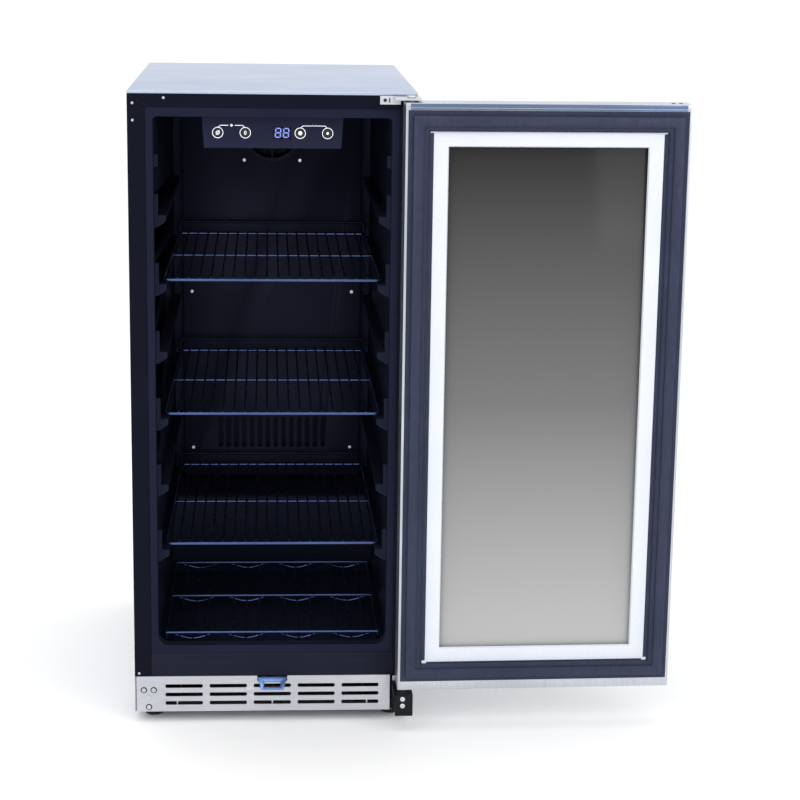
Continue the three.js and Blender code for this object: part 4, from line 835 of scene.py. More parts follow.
# Drawn copper tube, darkened in patches by handling.
COPPER = Finish(
    "drawn_copper_tube", "copper", "B46A45", "7E4730", (0.28, 0.5), Grain.BRUSHED, 1.2, 0.02,
    (0.1, 1, 1), metallic=1.0, patch_mm=35,
)
# Glass-filled nylon of the fans: matt black with a dry, fibrous skin.
FAN_PLASTIC = Finish(
    "black_glass_filled_nylon", "fan_black", "17181D", "101115", (0.4, 0.55), Grain.MOULDED, 1.2, 0.03,
)
# Moulded ABS of the control box, a little lighter than the liner.
CONTROL_PLASTIC = Finish(
    "slate_moulded_abs", "control_plastic", "23263A", "1C1F30", (0.32, 0.46), Grain.MOULDED, 1.2, 0.02,
    specular=0.22, tint="B4BDF0",
)
# Gloss ABS button caps, nearly black, with a hard clear highlight.
BUTTON_PLASTIC = Finish(
    "gloss_black_abs", "button_plastic", "0D0E14", "090A0F", (0.16, 0.26), Grain.POLISHED, 2, 0.01,
)
# Solder resist over glass fibre board: a glossy green skin over the weave.
BOARD_GREEN = Finish(
    "green_solder_resist", "board_green", "24512F", "1B3F25", (0.3, 0.5), Grain.MOULDED, 1.5, 0.02,
)
# Steel wire under black epoxy: thin, smooth and glossy, so it draws a bright line along each rod.
COATED_WIRE = Finish(
    "black_epoxy_coated_wire", "wire_black", "161926", "10131D", (0.2, 0.3),
    Grain.POLISHED, 3, 0.01, ior=1.6, specular=0.35, tint="93A5F5",
)
# The thicker rods of the shelves and the rack: the same black epoxy, coloured a bright metallic blue, which
# is a painted highlight along each rod.
ROD_PAINTED_HIGHLIGHT = Finish(
    "buffed_epoxy_coated_rod", "wire_black", "56689C", "44557F", (0.14, 0.24), Grain.POLISHED, 3, 0.01,
    metallic=0.9,
)
# Blue passivated zinc on the strike: a clear cold blue over a drawn surface.
BLUE_ZINC = Finish(
    "blue_passivated_zinc", "strike_steel", "7C9BD2", "6583BE", (0.24, 0.36),
    Grain.BRUSHED, 1.0, 0.01, (0.05, 1, 1), metallic=0.9,
)
# Bright zinc plate on screws and pins: a thin mirror with a slight crystal bloom.
BRIGHT_ZINC = Finish(
    "bright_zinc_plate", "pin_steel", "DADDE3", "BCC0C8", (0.16, 0.3), Grain.CAST, 1.0, 0.01, metallic=1.0,
)
# Turned acetal of the hinge bushes: waxy white with faint tool rings.
ACETAL = Finish(
    "white_turned_acetal", "acetal", "E6E7E3", "DADBD6", (0.28, 0.4), Grain.POLISHED, 2, 0.01,
)
# Opal polycarbonate over the lamp: milky, with a soft skin.
OPAL_LENS = Finish(
    "opal_polycarbonate", "lens_white", "D9DEE6", "C9CFD9", (0.3, 0.4), Grain.POLISHED, 4, 0.02,
)
# White ink printed on the control panel and the button caps, with a faint glow that is painted light, since
# no lamp lights it.
WHITE_INK_PAINTED_GLOW = Finish(
    "back_lit_white_ink", "control_plastic", "F2F4FA", "DDE1EC", (0.4, 0.5),
    Grain.POLISHED, 1, 0.005, glow=0.75,
)
# Light-emitting digits behind the smoked window.
BLUE_DIODE = Finish(
    "blue_white_light_diode", "control_plastic", "8E9BFF", "6F80FF", (0.3, 0.4),
    Grain.POLISHED, 1, 0.005, glow=3.2,
)


# Matt white paper of the studio floor; it is on no piece, so it has no slot.
WHITE_PAPER = Finish(
    "white_paper_sweep", "", "FEFEFE", "FCFCFD", (0.85, 0.95), Grain.MOULDED, 4, 0.02, patch_mm=900,
)


@dataclass(frozen=True)
class PaneFinish:
    """Tinted float glass whose colour is painted from dark at the top to light at the bottom, a painted
    reflection on the pane.
    """

    name: str
    slot: str
    top: str
    middle: str
    bottom: str
    veil: tuple[float, float]  # how much of what lies behind is hidden, at the top and at the bottom
    low_z: float  # where the fade ends and starts, in metres
    high_z: float
    roughness: float = 0.1
    specular: float = 0.5
    wave_mm: float = 120.0  # length of the faint roller waves in float glass

    def make(self) -> bpy.types.Material:
        """Builds the material, or finds the one already built.

        Returns:
            The material.
        """
        if self.name in bpy.data.materials:
            return bpy.data.materials[self.name]
        material = bpy.data.materials.new(self.name)
        material.use_nodes = True
        tree = material.node_tree
        tree.nodes.clear()
        coords = add_node(tree, "TexCoord")
        parts = add_node(tree, "SeparateXYZ", {0: coords.outputs["Object"]})
        rise = {"Value": parts.outputs["Z"], "From Min": self.low_z, "From Max": self.high_z}
        height = add_node(tree, "MapRange", rise).outputs[0]
        # the ramp is a painted reflection: dark at the top, light at the bottom
        tint = add_node(tree, "ValToRGB", {"Fac": height})
        tint.color_ramp.elements[0].color = linear(self.bottom)
        tint.color_ramp.elements[1].color = linear(self.top)
        tint.color_ramp.elements.new(0.5).color = linear(self.middle)
        at_top, at_bottom = self.veil
        veil = add_node(tree, "MapRange", {"Value": height, "To Min": at_bottom, "To Max": at_top})
        scale = 1 / (self.wave_mm * MM)
        waves = add_node(tree, "TexNoise", {"Vector": coords.outputs["Object"], "Scale": scale})
        swell = {"Height": waves.outputs["Fac"], "Strength": 0.1, "Distance": 0.02 * MM}
        relief = add_node(tree, "Bump", swell)
        shader = add_node(
            tree,
            "BsdfPrincipled",
            {
                "Base Color": tint.outputs["Color"],
                "Roughness": self.roughness,
                "IOR": 1.52,
                "Specular IOR Level": self.specular,
                "Alpha": veil.outputs[0],
                "Normal": relief.outputs[0],
            },
        )
        add_node(tree, "OutputMaterial", {"Surface": shader.outputs[0]})
        return material


AnyFinish = Finish | PaneFinish


def paint(piece: bpy.types.Object, finish: AnyFinish) -> bpy.types.Object:
    """Puts one finish on the whole of a piece.

    Args:
        piece: The piece.
        finish: Its finish.

    Returns:
        The piece.
    """
    piece.data.materials.clear()
    piece.data.materials.append(finish.make())
    return piece


def dress(
    piece: bpy.types.Object, finish: AnyFinish, body: str, *replaced: str
) -> bpy.types.Object:
    """Gives a new piece its material, its body and the CAD nodes that it stands for.

    A piece whose parts were painted before they were joined keeps their finishes.

    Args:
        piece: The finished mesh.
        finish: Its finish.
        body: The CAD body that it moves with.
        replaced: CAD nodes that it replaces.

    Returns:
        The piece.
    """
    if not piece.data.materials:
        paint(piece, finish)
    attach(piece, body)
    if replaced:
        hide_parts(*replaced)
    LOG.info("%s: %s on %s", piece.name, finish.name, body)
    return piece


def coat(node: str, finish: AnyFinish) -> None:
    """Puts a finish on a CAD node that stays as it is.

    Args:
        node: The node.
        finish: Its finish.
    """
    for slot in frame["nodes"][node].material_slots:
        slot.material = finish.make()
    LOG.info("%s: %s", node, finish.name)


# ---------------------------------------------------------------- screws and marks


@dataclass
class ScrewMaker:
    """Pan-head screws with a cross recess."""

    diameter: float = 5.6
    height: float = 1.5
    recess: float = 0.55  # depth of the cross
    slot: float = 0.9
    reach: float = 0.62  # length of the cross as a share of the head's diameter
    dome: float = 0.5  # share of the head's height that is rounded over
    seed: int = 7

    def __post_init__(self) -> None:
        """Seeds the turn that each screw is left at."""
        self.dice = random.Random(self.seed)

    def head(self) -> bpy.types.Object:
        """Makes one head at the origin, facing up.

        Returns:
            The head.
        """
        clear_selection()
        bpy.ops.mesh.primitive_cylinder_add(
            vertices=24,
            radius=self.diameter / 2 * MM,
            depth=self.height * MM,
            location=(0, 0, self.height / 2 * MM),
        )
        head = settle(bpy.context.object, "screw_head")
        mesh = edit(head, "EDGE")
        top = self.height * MM - 1e-7
        pick(mesh, head, "edges", lambda edge: all(v.co.z > top for v in edge.verts))
        bpy.ops.mesh.bevel(offset=self.height * self.dome * MM, segments=3, affect="EDGES")
        done()
        for turn in (0, math.pi / 2):
            clear_selection()
            top_centre = (0, 0, self.height * MM)
            bpy.ops.mesh.primitive_cube_add(size=1, location=top_centre, rotation=(0, 0, turn))
            blade = bpy.context.object
            blade.scale = (self.diameter * self.reach * MM, self.slot * MM, 2 * self.recess * MM)
            boolean(head, settle(blade, "screw_blade"))
        smooth(head)
        return head

    def set_of(
        self, name: str, places: Iterable[Point], outward: Point = FORWARDS
    ) -> bpy.types.Object:
        """Drives a screw at each place and joins them.

        Args:
            name: Name of the joined piece.
            places: Where each head sits, in cabinet millimetres.
            outward: The way that the heads face.

        Returns:
            The screws as one piece.
        """
        head = self.head()
        copies = []
        for number, place in enumerate(places):
            spin = Matrix.Rotation(self.dice.uniform(0, math.pi), 4, "Z")
            copies.append(copy_of(head, f"{name}_{number}", stood_at(place, outward) @ spin))
        bpy.data.objects.remove(head)
        return join(name, copies)


# ---------------------------------------------------------------- cabinet


@dataclass
class CabinetShell:
    """Top, sides, back and the mitred black frame round the opening."""

    fold: float = 0.8  # radius of the folded edges of sheet and frame
    mitre_gap: float = 0.7
    face_screws: tuple[Point, ...] = ((47.0, -5.0), (7.0, -12.0), (7.0, -34.0))  # off the top left corner
    foot_screw: Point = (6.0, 4.5)  # off the bottom left corner of the frame
    rear_edge: float = 9.0  # from a rear screw to the panel's edge
    rear_drop: float = 10.0
    grommet_bore: float = 3.5
    grommet_body: float = 9.0

    def __post_init__(self) -> None:
        """Reads the frame's edges."""
        self.low, self.high = DATUM.span("front_frame")
        self.inner_top = DATUM.span("liner")[1].z

    def build(self) -> None:
        """Makes every piece of the shell."""
        dress(refit("top_panel", "top_sheet", self.fold, 3), SATIN_TOP, "cabinet", "top_panel")
        for side in ("left", "right"):
            panel = refit(f"{side}_side_panel", f"{side}_side_sheet", 0.35)
            dress(panel, SATIN_SIDE, "cabinet", f"{side}_side_panel")
        dress(refit("rear_panel", "rear_sheet", 0.3), GALVANISED, "cabinet", "rear_panel")
        cover = refit("rear_cover", "louvred_rear_cover", 0.2, 1, merge=False)
        dress(cover, GALVANISED, "cabinet", "rear_cover")
        self.frame_members()
        self.frame_screws()
        self.rear_screws()
        self.inlet()

    def frame_members(self) -> None:
        """Cuts the arch into a top member and two legs that meet in mitres."""
        whole = refit("front_frame", "front_frame_arch", 0.01, 1)
        for side, name in ((-1, "front_frame_left_leg"), (1, "front_frame_right_leg")):
            leg = copy_of(whole, name, Matrix.Identity(4))
            self.mitre(leg, side, keep_leg=True)
            self.mitre(leg, -side, keep_leg=None)
            round_edges(leg, self.fold)
            dress(leg, BLACK_ENAMEL, "cabinet")
        top = copy_of(whole, "front_frame_top_member", Matrix.Identity(4))
        for side in (-1, 1):
            self.mitre(top, side, keep_leg=False)
        round_edges(top, self.fold)
        dress(top, BLACK_ENAMEL, "cabinet", "front_frame")
        bpy.data.objects.remove(whole)

    def mitre(self, piece: bpy.types.Object, side: int, keep_leg: bool | None) -> None:
        """Cuts a piece along a mitre, or along the centre plane.

        Args:
            piece: The piece to cut.
            side: -1 for the left mitre, 1 for the right one.
            keep_leg: True keeps the leg, False the top member, None drops the half on this side.
        """
        edit(piece)
        if keep_leg is None:
            centre = DATUM.at(0, 0, 0)
            bpy.ops.mesh.bisect(
                plane_co=centre, plane_no=(side, 0, 0), clear_outer=True, use_fill=True
            )
            done()
            return
        corner = Vector((self.high.x, 0, self.high.z))
        inside = Vector((DATUM.span("liner")[1].x, 0, self.inner_top))
        line = inside - corner
        normal = Vector((-line.z * side, 0, line.x)).normalized()
        if normal.z < 0:
            normal.negate()
        shift = normal * (self.mitre_gap / 2) * (-1 if keep_leg else 1)
        place = DATUM.at(side * corner.x + shift.x, 0, corner.z + shift.z)
        bpy.ops.mesh.bisect(
            plane_co=place,
            plane_no=normal,
            clear_outer=keep_leg,
            clear_inner=not keep_leg,
            use_fill=True,
        )
        done()

    def frame_screws(self) -> None:
        """Sets the small screws that show on the frame's face."""
        left, top = self.low.x, self.high.z
        places = [(left + x, 0, top + z) for x, z in self.face_screws]
        places.append((left + self.foot_screw[0], 0, self.low.z + self.foot_screw[1]))
        small = ScrewMaker(diameter=3.6, height=0.9, recess=0.4, slot=0.6, seed=3)
        dress(small.set_of("frame_screws", places), BRIGHT_ZINC, "cabinet")

    def rear_screws(self) -> None:
        """Fixes the back panel and the cover over the machinery round their edges."""
        low, high = DATUM.span("rear_panel")
        cover_low, cover_high = DATUM.span("rear_cover")
        y, edge, drop = high.y, self.rear_edge, self.rear_drop
        levels = (
            high.z - drop, (low.z + high.z) / 2, low.z + drop + 2, cover_high.z - drop, cover_low.z + drop,
        )
        places = []
        for z in levels:
            places += [(low.x + edge, y, z), (high.x - edge, y, z)]
        places += [(0, y, high.z - drop), (0, y, cover_high.z - drop)]
        flat = ScrewMaker(diameter=6.4, height=1.1, recess=0.5, seed=11)
        dress(flat.set_of("rear_screws", places, BACKWARDS), BRIGHT_ZINC, "cabinet")

    def inlet(self) -> None:
        """Makes the rubber grommet that the mains lead comes through."""
        low, high = DATUM.span("mains_inlet")
        x, z = (low.x + high.x) / 2, (low.z + high.z) / 2
        depth = high.y - low.y
        flange, body, bore = (high.x - low.x) / 2, self.grommet_body, self.grommet_bore
        profile = [
            (bore, 2), (bore + 1, 0), (flange - 1, 0), (flange, 1), (flange, 4.8), (flange - 0.8, 5.7),
            (body + 0.3, 5.7), (body - 0.5, 6.4), (body - 0.5, depth - 1.2), (body - 1.4, depth),
            (bore + 1.2, depth), (bore, depth - 1.5),
        ]
        grommet = turned("mains_grommet", profile, (x, low.y, z), BACKWARDS)
        dress(grommet, BLACK_RUBBER_AND_PAINTED_SHADE, "cabinet", "mains_inlet")


@dataclass
class Cabin:
    """The moulded liner, what hangs in it and the trim below it."""

    bead: float = 0.5
    bead_proud: float = 0.35
    bead_reach: float = 165.0
    bead_drop: float = 6.0  # the long bead lies this far below the sill's top
    blank: tuple[float, float, float, float] = (98.0, 72.0, 141.0, 83.0)  # the empty outlined panel

    def build(self) -> None:
        """Makes every piece of the cabin."""
        dress(refit("liner", "cabin_liner", 0.7, 3), LINER_PLASTIC, "cabinet", "liner")
        dress(refit("lower_trim", "sill_trim", 0.4), TRIM_PLASTIC, "cabinet", "lower_trim")
        cover = refit("evaporator_cover", "cooling_cover", 0.4, 2, merge=False)
        dress(cover, COVER_PLASTIC, "cabinet", "evaporator_cover")
        dress(refit("fan_guard", "fan_grille", 0.4), COVER_PLASTIC, "cabinet", "fan_guard")
        self.cover_screws()
        self.sill_beads()
        coat("insulation", FOAM)

    def sill_beads(self) -> None:
        """Moulds the thin beads on the sill's face: two uprights, a long line and a blank panel."""
        low, high = DATUM.span("lower_trim")
        face = low.y
        line, proud, reach = self.bead, self.bead_proud, self.bead_reach
        foot, crown = low.z + 0.3, high.z - self.bead_drop
        spans = [
            (-reach, foot, -reach + line, crown),
            (reach - line, foot, reach, crown),
            (low.x + 1, crown, high.x - 1, crown + line),
        ]
        x0, z0, x1, z1 = self.blank
        spans += [
            (x0, z0, x1, z0 + line),
            (x0, z1 - line, x1, z1),
            (x0, z0, x0 + line, z1),
            (x1 - line, z0, x1, z1),
        ]
        beads = [
            block("bead", (left, face - proud, bottom), (right, face + 0.1, top), 0.1, 2)
            for left, bottom, right, top in spans
        ]
        dress(join("sill_trim_beads", beads), TRIM_PLASTIC, "cabinet")

    def cover_screws(self) -> None:
        """Fixes the cooling cover with six screws."""
        low, high = DATUM.span("evaporator_cover")
        y = low.y
        places = []
        for side in (-1, 1):
            places += [
                (side * 42.5, y, high.z - 108),
                (side * (high.x - 12.5), y, (low.z + high.z) / 2 - 9),
                (side * (high.x - 13), y, low.z + 45),
            ]
        maker = ScrewMaker(diameter=6.2, height=1.4, seed=5)
        dress(maker.set_of("cooling_cover_screws", places), BRIGHT_ZINC, "cabinet")


@dataclass
class ControlPanel:
    """The control box under the ceiling: panel, buttons, marks and lit digits."""

    ring: float = 6.9  # radius of the printed ring round each button
    ring_line: float = 0.75
    ink: float = 0.12  # how far the ink stands proud
    line: float = 0.45
    bracket_rise: float = 9.6
    gap: float = 4.2  # half of the break in the middle of a bracket
    digit_width: float = 6.6
    digit_height: float = 11.6
    digit_gap: float = 10.6
    stroke: float = 1.25
    slant: float = 0.1
    cap: float = 5.9  # radius of a button's cap
    names: tuple[str, ...] = ("power", "light", "cooler", "warmer")

    def __post_init__(self) -> None:
        """Reads where the panel's face and its buttons are."""
        self.face = DATUM.span("control_fascia")[0].y
        self.buttons = {}
        for name in self.names:
            a, b = DATUM.span(f"{name}_button")
            self.buttons[name] = ((a.x + b.x) / 2, (a.z + b.z) / 2)

    def build(self) -> None:
        """Makes every piece of the control box."""
        face = refit("control_fascia", "control_panel_face", 0.5, 3)
        dress(face, CONTROL_PLASTIC, "cabinet", "control_fascia")
        box = refit("control_housing", "control_box", 0.6)
        dress(box, CONTROL_PLASTIC, "cabinet", "control_housing")
        dress(refit("light_lens", "lamp_lens", 0.4), OPAL_LENS, "cabinet", "light_lens")
        coat("control_board", BOARD_GREEN)
        self.display()
        self.digits()
        self.rings_and_brackets()
        self.caps()

    def display(self) -> None:
        """Makes the smoked window in front of the digits."""
        low, high = DATUM.span("display_window")
        window = refit("display_window", "display_pane", 0.3)
        smoke = PaneFinish(
            "smoked_acrylic", "display_smoke", "090A10", "0A0B12", "0C0D14", (0.35, 0.35), low.z * MM,
            high.z * MM, 0.08, 0.25,
        )
        dress(window, smoke, "cabinet", "display_window")

    def digits(self) -> None:
        """Lights all seven bars of two digits behind the window."""
        low, high = DATUM.span("display_window")
        x, z = (low.x + high.x) / 2, (low.z + high.z) / 2
        y = high.y + 0.35
        half, rise = self.digit_width / 2, self.digit_height / 2
        bars = []
        for side in (-0.5, 0.5):
            centre = x + side * self.digit_gap
            for level in (-1, 0, 1):
                lean = self.slant * level * rise
                bars.append(self.bar(centre + lean, y, z + level * rise, half * 1.5, self.stroke))
            for level in (-0.5, 0.5):
                lean = self.slant * level * rise
                for edge in (-half, half):
                    place = (centre + edge + lean, y, z + level * rise)
                    bars.append(self.bar(*place, self.stroke, rise * 0.8))
        dress(join("display_digits", bars), BLUE_DIODE, "cabinet")

    def bar(self, x: float, y: float, z: float, width: float, height: float) -> bpy.types.Object:
        """Makes one bar of a digit.

        Args:
            x: Centre of the bar.
            y: Its front face.
            z: Centre of the bar.
            width: Its width.
            height: Its height.

        Returns:
            The bar.
        """
        low = (x - width / 2, y, z - height / 2)
        high = (x + width / 2, y + 0.3, z + height / 2)
        return block("digit_bar", low, high, 0.12, 2)

    def rings_and_brackets(self) -> None:
        """Prints a ring round each button and a bracket that joins each pair."""
        marks = [self.ring_mark(x, z) for x, z in self.buttons.values()]
        y = self.face - self.ink
        for left, right in (("power", "light"), ("cooler", "warmer")):
            (x0, z0), (x1, _) = self.buttons[left], self.buttons[right]
            rise = z0 + self.bracket_rise
            middle = (x0 + x1) / 2
            for foot, side in ((x0, 1), (x1, -1)):
                route = [
                    (foot + side * 0.6, y, z0 + self.ring), (foot + side * 3.2, y, rise),
                    (middle - side * self.gap, y, rise),
                ]
                marks.append(rod("bracket_line", eased(route, 1.2), self.line * 2, resolution=1))
            if left == "power":
                diamond = [(1.9, 0), (1.9, 0.2)]
                marks.append(turned("bracket_mark", diamond, (middle, y, rise), BACKWARDS, 4))
                continue
            for start in (-3.4, 0.6):
                wiggle = [
                    (middle + start, y, rise - 0.8), (middle + start + 1.4, y, rise + 0.9),
                    (middle + start + 2.8, y, rise - 0.5),
                ]
                marks.append(rod("bracket_wiggle", wiggle, self.line * 2, resolution=1))
        # the printed marks glow faintly: painted light
        dress(join("panel_marks", marks), WHITE_INK_PAINTED_GLOW, "cabinet")

    def ring_mark(self, x: float, z: float) -> bpy.types.Object:
        """Makes the flat ring printed round one button.

        Args:
            x: Centre of the ring.
            z: Centre of the ring.

        Returns:
            The ring.
        """
        inner, outer = self.ring - self.ring_line / 2, self.ring + self.ring_line / 2
        section = [(inner, 0), (inner, 0.2), (outer, 0.2), (outer, 0)]
        return hoop("ring_mark", section, (x, self.face - self.ink, z), BACKWARDS)

    def caps(self) -> None:
        """Turns the four button caps, each with a shallow dish and its own mark."""
        for name, (x, z) in self.buttons.items():
            low, high = DATUM.span(f"{name}_button")
            depth = high.y - low.y
            cap, flange = self.cap, (high.x - low.x) / 2
            profile = [
                (0.6, 0.45), (2.6, 0.38), (4.3, 0.12), (5.1, 0.0), (cap - 0.25, 0.16), (cap, 0.6),
                (cap, 3.7), (flange, 3.7), (flange, 5.1), (2, 5.1), (2, depth - 0.3), (1.7, depth),
            ]
            button = turned(f"{name}_button_cap", profile, (x, low.y, z), BACKWARDS)
            dress(button, BUTTON_PLASTIC, f"{name}_button", f"{name}_button")
            dress(self.symbol(name, x, low.y, z), WHITE_INK_PAINTED_GLOW, f"{name}_button")

    def symbol(self, name: str, x: float, face: float, z: float) -> bpy.types.Object:
        """Makes the plain mark on one cap: a struck ring, an oval, or a dot.

        Args:
            name: The button's name.
            x: Centre of the cap.
            face: The plane of its face.
            z: Centre of the cap.

        Returns:
            The mark.
        """
        y = face + 0.1
        if name == "power":
            section = [(1.7, 0), (1.7, 0.3), (2.5, 0.3), (2.5, 0)]
            circle = hoop("power_circle", section, (x, y, z), BACKWARDS)
            ends = [(x - 2.4, y + 0.12, z - 2.8), (x + 2.4, y + 0.12, z + 2.8)]
            return join("power_mark", [circle, rod("power_slash", ends, 0.8, resolution=1)])
        if name == "light":
            section = [(1.5, 0), (1.5, 0.3), (2.6, 0.3), (2.6, 0)]
            mark = hoop("light_mark", section, (x, y, z), BACKWARDS)
            centre = Matrix.Translation(DATUM.at(x, y, z))
            narrow = Matrix.Diagonal((0.6, 1, 1, 1))
            mark.data.transform(centre @ narrow @ centre.inverted())
            return mark
        radius = 2.6 if name == "cooler" else 1.6
        profile = [(radius * 0.6, -0.05), (radius, 0.1), (radius, 0.4), (radius * 0.6, 0.45)]
        return turned(f"{name}_mark", profile, (x, y, z), BACKWARDS, 24)


# ---------------------------------------------------------------- shelves


@dataclass
class Shelf:
    """A welded wire shelf that slides on the liner's rails."""

    rod_size: float = 4.4
    wire_size: float = 2.6
    wires: int = 18
    corner: float = 7.0
    taper: float = 4.0  # each side comes in by this much at the back
    weld: float = 0.8  # how far a wire sinks into the rods that it is welded to

    def model(self, node: str, name: str) -> bpy.types.Object:
        """Bends and welds one shelf inside its node's box.

        Args:
            node: The CAD node that gives its place.
            name: Name of the piece.

        Returns:
            The shelf.
        """
        low, high = DATUM.span(node)
        r = self.rod_size / 2
        front, back = low.y + r, high.y - r
        half, level = high.x - r, low.z + r
        back_half = half - self.taper
        raised = high.z - r
        corners = [
            (-half, front, level), (half, front, level), (back_half, back, level), (-back_half, back, level),
        ]
        route = eased(corners, self.corner, closed=True)
        rim = rod("rim", route, self.rod_size, closed=True, resolution=4)
        # the rim and the brace take the bright metallic blue, a painted highlight
        parts = [paint(rim, ROD_PAINTED_HIGHLIGHT)]
        gallery = [
            (-back_half + 0.4, back, level), (-back_half + 0.4, back, raised),
            (back_half - 0.4, back, raised), (back_half - 0.4, back, level),
        ]
        bent = rod("gallery", eased(gallery, self.corner), self.rod_size, resolution=4)
        parts.append(paint(bent, COATED_WIRE))
        middle = (front + back) / 2
        brace = [(-half + 2.5, middle, level - 0.2), (half - 2.5, middle, level - 0.2)]
        parts.append(paint(rod("brace", brace, self.rod_size - 1, resolution=4), ROD_PAINTED_HIGHLIGHT))
        wire_level = level + r + self.wire_size / 2 - self.weld
        pitch = 2 * back_half / (self.wires + 1)
        for number in range(1, self.wires + 1):
            x = -back_half + number * pitch
            wire = [(x, front - 1, wire_level), (x, middle, wire_level), (x, back + 1, wire_level)]
            parts.append(paint(rod("wire", wire, self.wire_size, resolution=2), COATED_WIRE))
        return join(name, parts)

    def build(self) -> None:
        """Makes the three shelves: one is modelled, the others are its copies."""
        first = self.model("lower_shelf", "lower_wire_shelf")
        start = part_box("lower_shelf")[0].z
        for node in ("middle_shelf", "upper_shelf"):
            lift = Matrix.Translation((0, 0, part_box(node)[0].z - start))
            twin = copy_of(first, node.replace("_", "_wire_"), lift)
            dress(twin, COATED_WIRE, node, node)
        dress(first, COATED_WIRE, "lower_shelf", "lower_shelf")


@dataclass
class BottleRack:
    """The rack on the cabin floor, with waved wires that cradle lying bottles."""

    rod_size: float = 4.4
    wave_size: float = 3.2
    wire_size: float = 2.6
    cradles: int = 4
    fall: float = 8.0  # depth of a cradle
    depth: float = 324.0
    wave_steps: int = 16  # points along one cradle's wave

    def build(self) -> None:
        """Bends and welds the rack."""
        low, high = DATUM.span("bottle_rack")
        r = self.rod_size / 2
        front = low.y + r
        half = high.x - r
        level = high.z - r
        rows = [front, front + self.depth / 2, front + self.depth]
        crest = level - 1
        pitch = 2 * half / self.cradles
        steps = self.cradles * self.wave_steps
        parts = []
        for y in rows:
            # the cross rods and the waves take the bright metallic blue, a painted highlight
            cross = rod("cross", [(-half, y, level), (half, y, level)], self.rod_size, resolution=4)
            parts.append(paint(cross, ROD_PAINTED_HIGHLIGHT))
            wave = []
            for step in range(steps + 1):
                x = -half + 2 * half * step / steps
                drop = (1 - math.cos(2 * math.pi * (x + half) / pitch)) * self.fall / 2
                wave.append((x, y + 2.2, crest - drop))
            parts.append(paint(rod("wave", wave, self.wave_size, resolution=2), ROD_PAINTED_HIGHLIGHT))
        for side in (-1, 1):
            x = side * half
            foot = low.z + 0.1
            leg = [(x, rows[0], foot), (x, rows[0], level), (x, rows[2], level), (x, rows[2], foot)]
            parts.append(paint(rod("side", eased(leg, 5), self.rod_size, resolution=4), COATED_WIRE))
        for cradle in range(self.cradles):
            centre = -half + (cradle + 0.5) * pitch
            for off in (-0.25, 0, 0.25):
                drop = (1 + math.cos(2 * math.pi * off)) * self.fall / 2
                x, z = centre + off * pitch, crest - drop + 1.4
                run = [(x, rows[0] - 1, z), (x, rows[1], z), (x, rows[2] + 4, z)]
                parts.append(paint(rod("run", run, self.wire_size, resolution=2), COATED_WIRE))
        dress(join("bottle_wire_rack", parts), COATED_WIRE, "cabinet", "bottle_rack")


# ---------------------------------------------------------------- base and machinery


